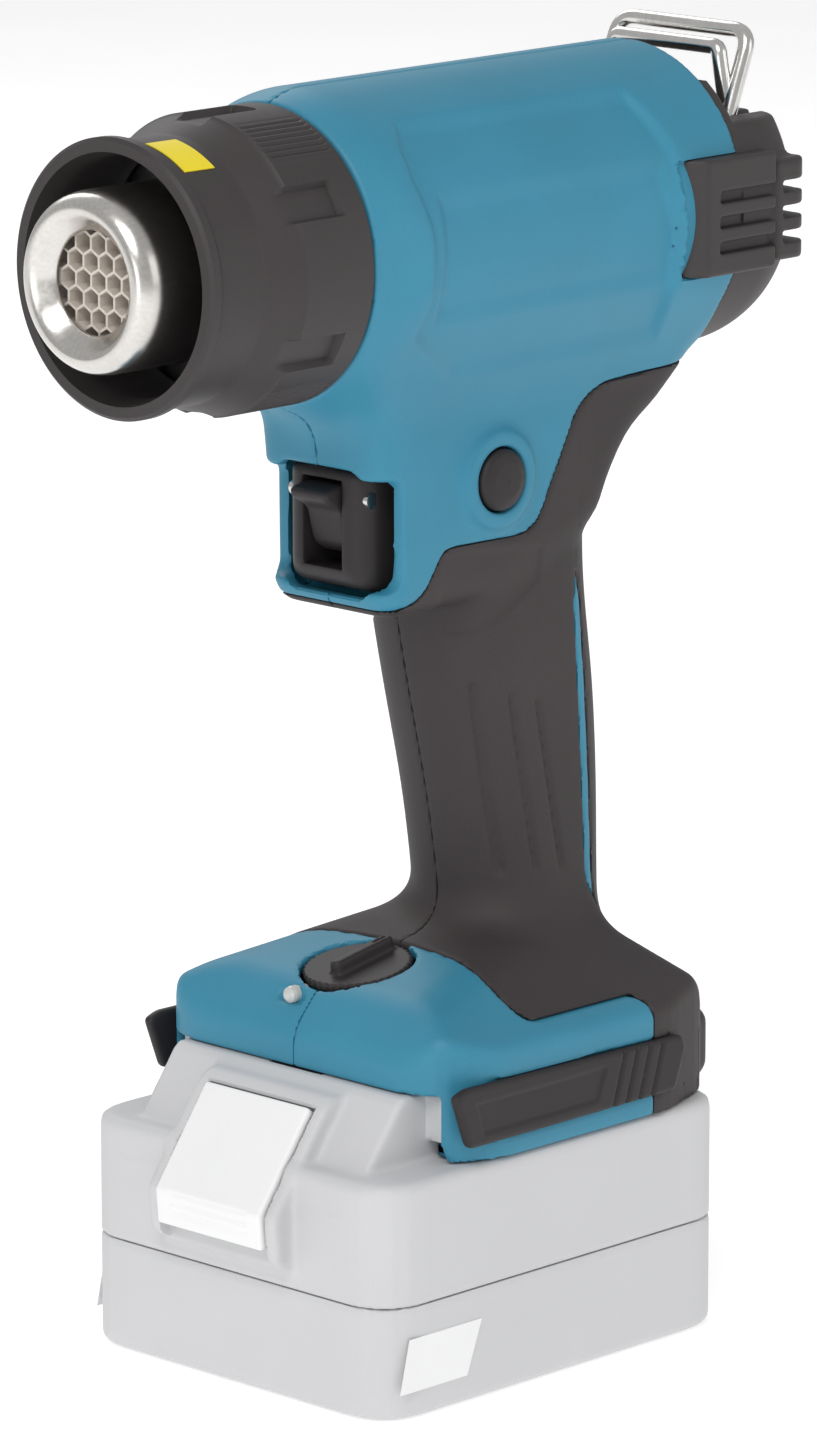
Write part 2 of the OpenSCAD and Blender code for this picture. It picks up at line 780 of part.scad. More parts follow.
module hook() color(steel) {
  b = 4;   // bend of the wire's corners
  leg = [bar_x - hinge_x, 0, bar_z - hinge_z];
  u = leg / norm(leg);
  foot_pt = [hinge_x, hook_y, hinge_z];
  half_bail = [
    [hinge_x, hook_y - 5, hinge_z], foot_pt, foot_pt + u * (norm(leg) - b),
    foot_pt + u * (norm(leg) - b * 0.3) - [0, b * 0.3, 0], foot_pt + leg - [0, b, 0]
  ];
  wire([for (p = half_bail) p, for (i = [len(half_bail) - 1:-1:0])
        [half_bail[i][0], -half_bail[i][1], half_bail[i][2]]], wire_r);
  // the second bar, in front of and below the first
  in_bar = [bar_x - 5, 0, bar_z - 2.8];
  half_inner = [
    foot_pt + u * 7.2 + [0, -1.7, 0], [bar_x - 5.6, hook_y - 2.6, bar_z - 5.6],
    [bar_x - 5.1, hook_y - 3.7, bar_z - 3.4], in_bar + [0, hook_y - 6.2, 0]
  ];
  wire([for (p = half_inner) p, for (i = [len(half_inner) - 1:-1:0])
        [half_inner[i][0], -half_inner[i][1], half_inner[i][2]]], wire_r);
}

// ---------- trigger and switch ----------

module trigger() color(rubber)
  difference() {
    union() {
      block([trigger_front + trigger_round, -trigger_w / 2, trigger_lo], [trigger_back, trigger_w / 2, trigger_hi]);
      block([trigger_front, -trigger_w / 2 + trigger_round, trigger_lo],
            [trigger_front + trigger_round + eps, trigger_w / 2 - trigger_round, trigger_hi]);
      for (s = [-1, 1])
        translate([trigger_front + trigger_round, s * (trigger_w / 2 - trigger_round), trigger_lo])
          cylinder(r = trigger_round, h = trigger_h, $fn = round_fn);
    }
    block([-40, -lever_w / 2 - 0.3, trigger_z - 6.8], [lever_slot_back, lever_w / 2 + 0.3, trigger_z + 9.7]);
    bar(pin_x, pin_z, lever_pin_r, -20, 20);
  }

module lever_pin() color(steel) bar(pin_x, pin_z, lever_pin_r, -trigger_w / 2 + 0.1, trigger_w / 2 - 0.1);

module lock_off_lever() color(rubber)
  difference() {
    plate([
      [pin_x - 7.2, pin_z + 1.6], [pin_x, pin_z + 2.3], [pin_x + 2.8, pin_z + 2.1],
      [pin_x + 7, pin_z - 1.4], [pin_x + 7.6, pin_z - 8.8], [pin_x + 5.8, pin_z - 11.4],
      [pin_x + 2.3, pin_z - 11.7], [pin_x - 0.4, pin_z - 9.3], [pin_x - 1.4, pin_z - 4.5],
      [pin_x - 2.8, pin_z - 2.4], [pin_x - 7.2, pin_z - 0.8]
    ], -lever_w / 2, lever_w / 2);
    bar(pin_x, pin_z, lever_pin_r + run_gap, -20, 20);
  }

module switch_plunger() color(steel)
  translate([trigger_back, 0, plunger_z]) rotate([0, 90, 0]) cylinder(r = plunger_r, h = 11, $fn = 48);

module trigger_spring() color(steel)
  translate([trigger_back, 0, plunger_z]) rotate([0, 90, 0])
    difference() {
      cylinder(r = plunger_r + 1.3, h = switch_x[0] - trigger_back, $fn = 48);
      translate([0, 0, -1]) cylinder(r = plunger_r + 0.3, h = 20, $fn = 48);
    }

module switch_body() color([0.15, 0.15, 0.16])
  difference() {
    block([switch_x[0], -switch_w / 2, switch_z[0]], [switch_x[1], switch_w / 2, switch_z[1]]);
    translate([switch_x[0] - 1, 0, plunger_z]) rotate([0, 90, 0])
      cylinder(r = plunger_r + run_gap, h = 4 + trigger_travel + 1, $fn = 48);
  }

module lock_button() color(rubber) {
  bar(button_x, button_z, button_r, -button_face, -neck_w / 2 + wall + 0.2);
  bar(button_x, button_z, button_r + 1.2, -neck_w / 2 + wall + 0.2, -neck_w / 2 + wall + 1.4);
}

module lock_button_spring() color(steel)
  difference() {
    bar(button_x, button_z, 4, -neck_w / 2 + wall + 1.4, -switch_w / 2);
    bar(button_x, button_z, 3.2, -30, 0);
  }

// ---------- electronics in the foot ----------

module control_board() color(board_green)
  block([-19, -22, floor_z + 4.4], [33, 22, floor_z + 6]);

module dial_pot() color([0.2, 0.2, 0.22])
  on_dial() block([-4.5, -4.5, -7.5], [4.5, 4.5, -5.2]);

module temperature_dial() color(rubber)
  on_dial() {
    translate([0, 0, -1.8]) cylinder(r = dial_r, h = 1.8, $fn = round_fn);
    translate([0, 0, -5.1]) cylinder(r = 2.6, h = 3.4, $fn = 48);
    block([-dial_r * 0.6, -1.7, -0.1], [dial_r * 0.85, 1.7, 3.4]);
    translate([dial_r * 0.85, 0, -0.1]) cylinder(r = 1.7, h = 3.5, $fn = 48);
  }

module led_lamp() color([0.9, 0.9, 0.9])
  translate(led_at) rotate([0, 90, 0]) cylinder(r = 1.5, h = 2.5, $fn = 48);

module led_lens() color([0.95, 0.95, 0.9])
  translate(led_at) rotate([0, 90, 0]) rotate_extrude($fn = 48)
    polygon([[0, -2.6], [0.9, -2.4], [1.5, -1.9], [1.7, -1.2], [1.7, 0], [0, 0]]);

module terminal_block() color([0.15, 0.15, 0.16])
  block([4, -24, deck_z + 0.3], [38, 24, floor_z + 3]);

module terminal_blades() color(copper)
  for (y = blade_ys)
    block([blade_x[0], y - 0.5, blade_lo], [abs(y) > 10 ? blade_x[1] : blade_x[0] + 9, y + 0.5, deck_z + 0.3]);

module right_foot_bumper() color(rubber) bumper_outline(0);
module left_foot_bumper() color(rubber) mirror([0, 1, 0]) bumper_outline(0);

// ---------- fasteners and leads ----------

module housing_screws() color(steel)
  for (s = screw_spots) {
    bar(s[0], s[1], screw_shank_r, -boss_y + 1.5, boss_y - 2.5);
    bar(s[0], s[1], screw_head_r, boss_y - 2.5, boss_y - 0.3);
  }

module cover_screws() color(steel) {
  cover_bosses(1.2, shroud_flange[0] + 0.3, cover_end - 5);
  cover_bosses(2.2, cover_end - 5, cover_end - 3.2);
}

module internal_leads() color([0.7, 0.15, 0.12])
  for (y = [-5, 5]) {
    translate([28, y, floor_z + 6]) cylinder(r = 1, h = switch_z[0] - floor_z - 6, $fn = 48);
    translate([24, y, switch_z[1]]) cylinder(r = 1, h = axis_z - can_r + 0.8 - switch_z[1], $fn = 48);
  }

// ---------- battery pack ----------

// the pack's upper part, from the side
function pack_upper(w) = [
  [-pack_l / 2, pack_h - 7.5], [foot_front - 2.5, pack_top - 1.2], [foot_front - 1, pack_top],
  [pack_l / 2 - 4, pack_top], [pack_l / 2 - 4, pack_h - 7.5]
];

module pack_shell() {
  rounded_box(pack_l, pack_w, pack_edge_r, 0, pack_h);
  plate(pack_upper(0), -channel_w / 2 + 5, channel_w / 2 - 5);
  // rails that run in the foot's channel
  block([-26, -channel_w / 2 + 0.4, rail_z + 3.2], [pack_l / 2 - 4, channel_w / 2 - 0.4, pack_top]);
  // raised front that carries the release button
  plate([
    [-pack_l / 2 + 2, 24], [-pack_l / 2 - 4.6, 28], [-pack_l / 2 - 5.4, 37],
    [foot_front - 8.6, pack_top - 3.2], [foot_front - 5.6, pack_top - 1.6], [foot_front, pack_top - 1.6],
    [foot_front, 24]
  ], -release_w / 2 - 3, release_w / 2 + 3);
}

module pack_hollow() {
  rounded_box(pack_l - 2 * pack_wall, pack_w - 2 * pack_wall, pack_edge_r - pack_wall,
              pack_wall, pack_h - 2.2);
  block([-20, -channel_w / 2 + 8, pack_h - 3], [pack_l / 2 - 6, channel_w / 2 - 8, pack_top - pack_wall]);
}

module release_pocket() {
  plate([
    [release_x - 4, 26.4], [release_x - 4, 38.4], [foot_front - 9.5, pack_top - 1.4],
    [foot_front - 6.5, pack_top - 4.2], [foot_front - 6.5, pack_top - 9],
    [release_x + 4.4, 33], [release_x + 4.4, 26.4]
  ], -release_w / 2 - slide_gap, release_w / 2 + slide_gap);
}

module latch_pocket() {
  plate([
    [foot_front - 15, board_z + 1.8], [-23.8, board_z + 1.8], [-23.8, pack_top - 2],
    [foot_front - 8, pack_top - 2]
  ], -latch_w / 2 - slide_gap, latch_w / 2 + slide_gap);
  block([-30.6, -latch_w / 2 - slide_gap, pack_top - 3], [-23.8, latch_w / 2 + slide_gap, pack_top + 1]);
}

module blade_slots() {
  for (y = blade_ys)
    block([blade_x[0] - 1, y - 0.9, blade_lo - 0.6], [pack_l / 2 + 1, y + 0.9, pack_top + 1]);
}

module pack_case() {
  difference() {
    pack_shell();
    pack_hollow();
    release_pocket();
    latch_pocket();
    blade_slots();
  }
}

module battery_lower_case() color(pack_grey)
  intersection() {
    pack_case();
    block([-far, -far, -1], [far, far, pack_split]);
  }

module battery_upper_case() color(pack_grey)
  intersection() {
    pack_case();
    block([-far, -far, pack_split], [far, far, far]);
  }

module release_button() color([0.95, 0.95, 0.95])
  plate([
    [release_x + 0.4, 30.2], [release_x - 0.2, 37.4], [foot_front - 9.6, pack_top - 3.2],
    [foot_front - 8, pack_top - 4.8], [release_x + 2.6, 36.8], [release_x + 2.9, 30.2]
  ], -release_w / 2, release_w / 2);

module release_latch() color([0.3, 0.3, 0.32])
  plate([
    [foot_front - 10.2, pack_top - 8.2], [-30, pack_top - 5.6], [-30, latch_top],
    [-27, latch_top], [-24.4, pack_top - 2], [-24.4, pack_top - 11.4], [foot_front - 12.8, pack_top - 11.4]
  ], -latch_w / 2, latch_w / 2);

module release_spring() color(steel)
  translate([-32, 0, board_z + 1.6])
    difference() {
      cylinder(r = 3, h = pack_top - 11.4 - board_z - 1.6, $fn = 48);
      translate([0, 0, -1]) cylinder(r = 2.2, h = 20, $fn = 48);
    }

module battery_cells() color([0.35, 0.6, 0.4])
  for (i = [0:cell_cols - 1], z = cell_z)
    bar((i - (cell_cols - 1) / 2) * cell_pitch, z, cell_r, -cell_l / 2, cell_l / 2);

module battery_board() color(board_green)
  block([-40, -34, board_z], [40, 34, board_z + 1.6]);

module battery_terminals() color(copper)
  for (y = [-14, 14], s = [-1, 1])
    block([12, y + s * 1.1 - 0.3, board_z + 1.6], [26, y + s * 1.1 + 0.3, pack_top - 2.4]);

module battery_label() color([0.97, 0.97, 0.97])
  for (s = [-1, 1])
    plate([[-44, 5.6], [-26, 5.6], [-22, 16], [-41.5, 16]],
          s < 0 ? -pack_w / 2 - 0.2 : pack_w / 2, s < 0 ? -pack_w / 2 : pack_w / 2 + 0.2);

left_housing();
right_housing();
left_grip();
right_grip();
rear_cover();
left_vent_guard();
right_vent_guard();
nose_ring();
protector();
warning_label();
nozzle();
honeycomb_core();
mica_sleeve();
heater_tube();
mica_former();
heating_coil();
thermal_fuse();
air_duct();
motor_mount();
motor_can();
motor_bushes();
motor_armature();
motor_shaft();
fan_impeller();
fan_shroud();
hook_bracket();
hook();
trigger();
lever_pin();
lock_off_lever();
switch_plunger();
trigger_spring();
switch_body();
lock_button();
lock_button_spring();
control_board();
dial_pot();
temperature_dial();
led_lamp();
led_lens();
terminal_block();
terminal_blades();
left_foot_bumper();
right_foot_bumper();
housing_screws();
cover_screws();
internal_leads();
battery_upper_case();
battery_lower_case();
release_button();
release_latch();
release_spring();
battery_cells();
battery_terminals();
battery_board();
battery_label();
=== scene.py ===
import math
import numpy as np
import bpy
from mathutils import Matrix


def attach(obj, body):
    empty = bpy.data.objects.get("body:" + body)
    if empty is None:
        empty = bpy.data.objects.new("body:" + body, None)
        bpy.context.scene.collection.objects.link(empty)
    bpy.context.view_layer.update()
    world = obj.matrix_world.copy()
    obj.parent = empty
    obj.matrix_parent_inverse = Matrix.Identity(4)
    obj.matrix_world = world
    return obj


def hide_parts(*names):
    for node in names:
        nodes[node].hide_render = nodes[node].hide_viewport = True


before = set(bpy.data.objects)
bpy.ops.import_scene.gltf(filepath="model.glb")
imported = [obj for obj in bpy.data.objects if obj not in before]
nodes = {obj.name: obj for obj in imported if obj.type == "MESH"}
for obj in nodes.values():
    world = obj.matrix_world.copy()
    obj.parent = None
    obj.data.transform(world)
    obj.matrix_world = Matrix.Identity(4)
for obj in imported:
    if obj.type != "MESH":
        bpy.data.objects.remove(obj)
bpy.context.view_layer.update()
print("frame loaded:", len(nodes), "CAD nodes")

# All pieces are worked out in millimetres and written to their meshes in metres.
# X runs along the air axis with the nozzle towards -X, -Y is the left side, +Z is up.

tool = {"axisZ": 216.5, "detail": 0.7}   # detail is the cell of the moulded shells, in mm


def newMaterial(name, rough=0.5, metal=0.0, spec=0.5):
    mat = bpy.data.materials.new(name)
    mat.use_nodes = True
    nt = mat.node_tree
    nt.nodes.clear()
    out = nt.nodes.new("ShaderNodeOutputMaterial")
    sh = nt.nodes.new("ShaderNodeBsdfPrincipled")
    nt.links.new(sh.outputs[0], out.inputs[0])
    sh.inputs["Roughness"].default_value = rough
    sh.inputs["Metallic"].default_value = metal
    sh.inputs["Specular IOR Level"].default_value = spec
    co = nt.nodes.new("ShaderNodeTexCoord")
    return mat, nt, sh, co.outputs["Object"]


# noise on object coordinates; stretch squeezes it along the axes for brushed metal
def addNoise(nt, coord, scale, detail=3.0, stretch=None):
    n = nt.nodes.new("ShaderNodeTexNoise")
    n.inputs["Scale"].default_value = scale
    n.inputs["Detail"].default_value = detail
    if stretch:
        mp = nt.nodes.new("ShaderNodeMapping")
        mp.inputs["Scale"].default_value = stretch
        nt.links.new(coord, mp.inputs[0])
        coord = mp.outputs[0]
    nt.links.new(coord, n.inputs["Vector"])
    return n.outputs["Fac"]


def addRamp(nt, fac, stops):
    r = nt.nodes.new("ShaderNodeValToRGB")
    els = r.color_ramp.elements
    while len(els) < len(stops):
        els.new(0.5)
    for e, (pos, col) in zip(els, stops):
        e.position = pos
        e.color = (*col, 1.0)
    nt.links.new(fac, r.inputs[0])
    return r.outputs[0]


def addMath(nt, op, a, b):
    m = nt.nodes.new("ShaderNodeMath")
    m.operation = op
    for sock, v in zip(m.inputs, (a, b)):
        if isinstance(v, (int, float)):
            sock.default_value = v
        else:
            nt.links.new(v, sock)
    return m.outputs[0]


def addBump(nt, sh, height, strength, distance):
    b = nt.nodes.new("ShaderNodeBump")
    b.inputs["Strength"].default_value = strength
    b.inputs["Distance"].default_value = distance
    nt.links.new(height, b.inputs["Height"])
    nt.links.new(b.outputs[0], sh.inputs["Normal"])


def spread(col, k):
    return tuple(max(0.0, min(1.0, c * k)) for c in col)


# spark-eroded mould texture: a fine grain in the bump, slow cloudiness in colour and gloss
def mouldedPlastic(name, col, rough=0.5, grain=2600.0, grainDepth=0.00004, vary=0.06, spec=0.4):
    mat, nt, sh, co = newMaterial(name, rough, 0.0, spec)
    cloud = addNoise(nt, co, 45.0, 2.0)
    speck = addNoise(nt, co, grain, 2.0)
    both = addMath(nt, "ADD", addMath(nt, "MULTIPLY", cloud, 0.55), addMath(nt, "MULTIPLY", speck, 0.45))
    colour = addRamp(nt, both, [(0.32, spread(col, 1 - vary)), (0.5, col), (0.68, spread(col, 1 + vary))])
    nt.links.new(colour, sh.inputs["Base Color"])
    gloss = addMath(nt, "ADD", addMath(nt, "MULTIPLY", both, 0.16), rough - 0.08)
    nt.links.new(gloss, sh.inputs["Roughness"])
    addBump(nt, sh, speck, 0.5, grainDepth)
    return mat


# spun or drawn metal: fine marks along one direction in colour, gloss and bump
def metal(name, col, rough=0.25, streak=(1.0, 1.0, 1.0), scale=900.0, depth=0.00001, vary=0.1):
    mat, nt, sh, co = newMaterial(name, rough, 1.0, 0.5)
    marks = addNoise(nt, co, scale, 4.0, streak)
    cloud = addNoise(nt, co, 70.0, 3.0)
    both = addMath(nt, "ADD", addMath(nt, "MULTIPLY", cloud, 0.5), addMath(nt, "MULTIPLY", marks, 0.5))
    colour = addRamp(nt, both, [(0.3, spread(col, 1 - vary)), (0.7, spread(col, 1 + vary))])
    nt.links.new(colour, sh.inputs["Base Color"])
    nt.links.new(addMath(nt, "ADD", addMath(nt, "MULTIPLY", both, 0.2), rough - 0.1), sh.inputs["Roughness"])
    addBump(nt, sh, marks, 0.3, depth)
    return mat


teal = (0.036, 0.232, 0.352)
finish = {
    "teal": mouldedPlastic("tealHousing", teal, 0.5, 2600.0, 0.00004, 0.06, 0.4),
    "rubber": mouldedPlastic("gripRubber", (0.043, 0.036, 0.037), 0.62, 2200.0, 0.00007, 0.14, 0.35),
    "black": mouldedPlastic("blackPlastic", (0.040, 0.034, 0.035), 0.52, 2400.0, 0.00005, 0.12, 0.4),
    "smoothBlack": mouldedPlastic("smoothBlack", (0.030, 0.026, 0.027), 0.48, 3000.0, 0.00002, 0.1, 0.25),
    "darkPlastic": mouldedPlastic("darkPlastic", (0.02, 0.02, 0.022), 0.5),
    "packGrey": mouldedPlastic("packPlastic", (0.60, 0.60, 0.61), 0.5, 2600.0, 0.00004, 0.02, 0.35),
    "packWhite": mouldedPlastic("packWhite", (0.86, 0.86, 0.86), 0.45, 2600.0, 0.00003, 0.02, 0.35),
    "whiteLabel": mouldedPlastic("whiteLabel", (0.86, 0.86, 0.86), 0.4, 3600.0, 0.00001, 0.02, 0.4),
    "yellowLabel": mouldedPlastic("yellowLabel", (0.86, 0.69, 0.01), 0.35, 3600.0, 0.00001, 0.05, 0.45),
    "spunSteel": metal("spunSteel", (0.66, 0.64, 0.61), 0.24, (0.25, 1.0, 1.0), 1500.0, 0.000012, 0.12),
    "wireSteel": metal("wireSteel", (0.70, 0.69, 0.67), 0.2, (1.0, 1.0, 0.3), 700.0, 0.000008, 0.08),
    "plainSteel": metal("plainSteel", (0.55, 0.55, 0.55), 0.35),
    "brass": metal("brassPlain", (0.72, 0.52, 0.24), 0.3),
    "heaterWire": metal("heaterWire", (0.35, 0.3, 0.27), 0.45),
    "ceramic": mouldedPlastic("ceramic", (0.62, 0.56, 0.50), 0.55, 1800.0, 0.00006, 0.12, 0.35),
    "mica": mouldedPlastic("mica", (0.58, 0.49, 0.33), 0.4, 900.0, 0.00003, 0.15, 0.5),
    "board": mouldedPlastic("circuitBoard", (0.02, 0.12, 0.05), 0.35, 900.0, 0.00002, 0.15, 0.5),
    "leads": mouldedPlastic("siliconeLead", (0.38, 0.02, 0.015), 0.45),
    "cell": mouldedPlastic("cellSleeve", (0.10, 0.28, 0.16), 0.35),
    "lens": mouldedPlastic("clearLens", (0.55, 0.56, 0.54), 0.12, 3600.0, 0.00001, 0.04, 0.6),
}
print("materials:", len(finish))


# A field gives the distance to a shape's surface at arrays of points: negative inside.

# the nearer of two fields, melted together over k
def smin(a, b, k):
    h = np.clip(0.5 + 0.5 * (b - a) / k, 0.0, 1.0)
    return b + (a - b) * h - k * h * (1 - h)


# the further of two fields, melted together over k
def smax(a, b, k):
    return -smin(-a, -b, k)


# a soft step: 0 up to 0, 1 from 1 on
def ramp(v):
    v = np.clip(v, 0.0, 1.0)
    return v * v * (3 - 2 * v)


# distance to a closed outline in a plane, from its edges, with the sign from edge crossings
def outline2d(px, pz, pts):
    pts = np.asarray(pts, float)
    best = None
    inside = None
    for a, b in zip(pts, np.roll(pts, -1, 0)):
        ex, ez = b - a
        wx, wz = px - a[0], pz - a[1]
        t = np.clip((wx * ex + wz * ez) / (ex * ex + ez * ez), 0, 1)
        d = (wx - ex * t) ** 2 + (wz - ez * t) ** 2
        best = d if best is None else np.minimum(best, d)
        if abs(ez) > 1e-9:
            hit = ((a[1] > pz) != (b[1] > pz)) & (px < a[0] + (pz - a[1]) * ex / ez)
            inside = hit if inside is None else inside ^ hit
    return np.sqrt(best) * np.where(inside, -1.0, 1.0)


# rounds an outline's corners with short parabolas that start radius away from each corner
def softOutline(pts, radius, steps=4):
    pts = np.asarray(pts, float)
    made = []
    t = np.linspace(0, 1, steps)[:, None]
    for prev, p, nxt in zip(np.roll(pts, 1, 0), pts, np.roll(pts, -1, 0)):
        u, v = prev - p, nxt - p
        lu, lv = np.linalg.norm(u), np.linalg.norm(v)
        a = p + u / lu * min(radius, lu * 0.45)
        b = p + v / lv * min(radius, lv * 0.45)
        made.append((1 - t) ** 2 * a + 2 * t * (1 - t) * p + t * t * b)
    return np.concatenate(made)


# distance from a line square to a plane through the point at
def fromLine(a, b, at):
    return np.sqrt((a - at[0]) ** 2 + (b - at[1]) ** 2)


# a box with edges rounded to r
def boxField(x, y, z, low, high, r=0.0):
    q = [np.abs(v - (a + b) / 2) - (b - a) / 2 + r for v, a, b in zip((x, y, z), low, high)]
    out = np.sqrt(sum(np.maximum(v, 0) ** 2 for v in q))
    return out + np.minimum(np.maximum(np.maximum(q[0], q[1]), q[2]), 0) - r


net = {
    # cells in a coarse block, how near in blocks the surface has to be for a block to be sampled in
    # full, and in cells the reach of the slope's probe and of a point's move
    "block": 6, "near": 1.6, "probe": 0.25, "move": 0.6,
}


# samples a field on a lattice, puts one point in each cell the surface crosses (the mean of
# its edge crossings), joins the points round every crossed lattice edge into quads, and moves
# the points onto the surface along the field's slope
def netSurface(field, low, high, step):
    low, high = np.asarray(low, float), np.asarray(high, float)
    c = net["block"]
    blocks = np.ceil((high - low) / (step * c)).astype(int) + 1
    mid = [low[i] + (np.arange(blocks[i]) * c + (c - 1) / 2) * step for i in range(3)]
    middles = field(mid[0][:, None, None], mid[1][None, :, None], mid[2][None, None, :])
    coarse = np.broadcast_to(middles, tuple(blocks))
    grid = coarse.astype(np.float32)
    for axis in range(3):
        grid = np.repeat(grid, c, axis)
    near = np.argwhere(np.abs(coarse) < c * step * net["near"])
    run = np.arange(c)
    for part in np.array_split(near, max(1, len(near) // 4000)):
        ix, iy, iz = (part[:, i, None] * c + run for i in range(3))
        vals = field((low[0] + ix * step)[:, :, None, None], (low[1] + iy * step)[:, None, :, None],
                     (low[2] + iz * step)[:, None, None, :])
        grid[ix[:, :, None, None], iy[:, None, :, None], iz[:, None, None, :]] = vals
    full = grid < 0
    count = np.zeros(tuple(s - 1 for s in grid.shape), np.int8)
    corners = [(i, j, k) for i in (0, 1) for j in (0, 1) for k in (0, 1)]
    for i, j, k in corners:
        count += full[i:full.shape[0] - 1 + i, j:full.shape[1] - 1 + j, k:full.shape[2] - 1 + k]
    cells = np.argwhere((count > 0) & (count < 8))
    f = [grid[cells[:, 0] + i, cells[:, 1] + j, cells[:, 2] + k].astype(float) for i, j, k in corners]
    total = np.zeros((len(cells), 3))
    hits = np.zeros(len(cells))
    for a in range(8):
        for b in range(a + 1, 8):
            d = np.array(corners[b]) - np.array(corners[a])
            if np.abs(d).sum() != 1:
                continue
            cross = (f[a] < 0) != (f[b] < 0)
            t = np.where(cross, f[a] / np.where(cross, f[a] - f[b], 1.0), 0.0)
            total += cross[:, None] * (np.array(corners[a]) + t[:, None] * d)
            hits += cross
    points = low + (cells + total / hits[:, None]) * step
    index = np.full(count.shape, -1, np.int32)
    index[tuple(cells.T)] = np.arange(len(cells))
    quads = []
    for axis in range(3):
        o1, o2 = [(1, 2), (2, 0), (0, 1)][axis]
        lo = [slice(None)] * 3
        hi = [slice(None)] * 3
        lo[axis], hi[axis] = slice(0, -1), slice(1, None)
        a, b = full[tuple(lo)], full[tuple(hi)]
        e = np.argwhere(a != b)
        e = e[(e[:, o1] > 0) & (e[:, o2] > 0)]
        e = e[(e[:, o1] < index.shape[o1]) & (e[:, o2] < index.shape[o2])]
        q = []
        for da, db in ((1, 1), (0, 1), (0, 0), (1, 0)):
            s = e.copy()
            s[:, o1] -= da
            s[:, o2] -= db
            q.append(index[tuple(s.T)])
        q = np.stack(q, 1)
        outward = a[tuple(e.T)]
        q[~outward] = q[~outward][:, ::-1]
        quads.append(q)
    quads = np.concatenate(quads)
    home = points.copy()
    h, move = step * net["probe"], step * net["move"]
    for _ in range(2):
        x, y, z = points.T
        f0 = field(x, y, z)
        g = np.stack([field(x + h, y, z) - field(x - h, y, z), field(x, y + h, z) - field(x, y - h, z),
                      field(x, y, z + h) - field(x, y, z - h)], 1) / (2 * h)
        points = points - (f0 / np.maximum((g ** 2).sum(1), 0.2))[:, None] * g
        points = home + np.clip(points - home, -move, move)
    return points, quads


def makePiece(name, verts, faces, mat, body, replaced=(), smooth=40.0):
    mesh = bpy.data.meshes.new(name)
    verts = np.asarray(verts, float) / 1000.0
    faces = np.asarray(faces, np.int32)
    n = faces.shape[1]
    mesh.vertices.add(len(verts))
    mesh.vertices.foreach_set("co", verts.astype(np.float32).ravel())
    mesh.loops.add(len(faces) * n)
    mesh.loops.foreach_set("vertex_index", faces.ravel())
    mesh.polygons.add(len(faces))
    mesh.polygons.foreach_set("loop_start", np.arange(len(faces), dtype=np.int32) * n)
    mesh.update(calc_edges=True)
    mesh.validate()
    mesh.materials.append(mat)
    mesh.polygons.foreach_set("use_smooth", np.ones(len(mesh.polygons), bool))
    if smooth:
        mesh.set_sharp_from_angle(angle=math.radians(smooth))
    obj = bpy.data.objects.new(name, mesh)
    bpy.context.scene.collection.objects.link(obj)
    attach(obj, body)
    if replaced:
        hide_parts(*replaced)
    print("  piece", name, len(verts), "points")
    return obj


def mouldPiece(name, field, low, high, step, mat, body, replaced, smooth=50.0):
    verts, quads = netSurface(field, low, high, step)
    return makePiece(name, verts, quads, mat, body, replaced, smooth)


# carries a closed profile of (x, radius) points round the air axis; radiusShift(x, r, angle)
# adds to the radius, so that ribs and recesses are part of the same surface
def turned(name, profile, mat, body, replaced, around, radiusShift=None, smooth=35.0):
    p = np.asarray(profile, float)
    ang = np.arange(around) / around * 2 * np.pi
    x = np.repeat(p[:, 0][:, None], around, 1)
    r = np.repeat(p[:, 1][:, None], around, 1)
    if radiusShift is not None:
        r = r + radiusShift(x, r, ang[None, :])
    y, z = -r * np.cos(ang), r * np.sin(ang)
    verts = np.stack([x, y, z + tool["axisZ"]], -1).reshape(-1, 3)
    return makePiece(name, verts, gridFaces(len(p), around), mat, body, replaced, smooth)


# quads of a grid that closes on itself both ways
def gridFaces(rows, cols):
    i = np.arange(rows)[:, None]
    j = np.arange(cols)[None, :]
    i2, j2 = (i + 1) % rows, (j + 1) % cols
    f = np.stack([i * cols + j, i * cols + j2, i2 * cols + j2, i2 * cols + j], -1)
    return f.reshape(-1, 4)


# puts extra points along a closed outline, no further apart than gap
def denser(pts, gap):
    pts = np.asarray(pts, float)
    out = []
    for a, b in zip(pts, np.roll(pts, -1, 0)):
        n = max(1, int(np.ceil(np.linalg.norm(b - a) / gap)))
        out.append(a + (b - a) * (np.arange(n) / n)[:, None])
    return np.concatenate(out)


# a round wire: circles of one radius in planes square to the path, which turn along it
# without twisting, and a flat cap on each end
def tubeAlong(path, radius, sides=20):
    path = np.asarray(path, float)
    tang = np.gradient(path, axis=0)
    tang /= np.linalg.norm(tang, axis=1)[:, None]
    ref = np.array([1.0, 0.02, 0.01])
    u = np.cross(tang, ref)
    u /= np.linalg.norm(u, axis=1)[:, None]
    v = np.cross(tang, u)
    a = np.arange(sides) / sides * 2 * np.pi
    ringPts = (path[:, None, :] + radius * (np.cos(a)[None, :, None] * u[:, None, :]
                                            + np.sin(a)[None, :, None] * v[:, None, :]))
    n = len(path)
    i = np.arange(n - 1)[:, None]
    j = np.arange(sides)[None, :]
    j2 = (j + 1) % sides
    side = np.stack([i * sides + j, i * sides + j2, (i + 1) * sides + j2, (i + 1) * sides + j], -1)
    side = side.reshape(-1, 4)
    verts = np.concatenate([ringPts.reshape(-1, 3), path[:1], path[-1:]])
    k = np.arange(sides)
    k2 = (k + 1) % sides
    first = np.stack([np.full(sides, n * sides), k2, k], -1)
    last = np.stack([np.full(sides, n * sides + 1), (n - 1) * sides + k, (n - 1) * sides + k2], -1)
    return verts, side, np.concatenate([first, last])


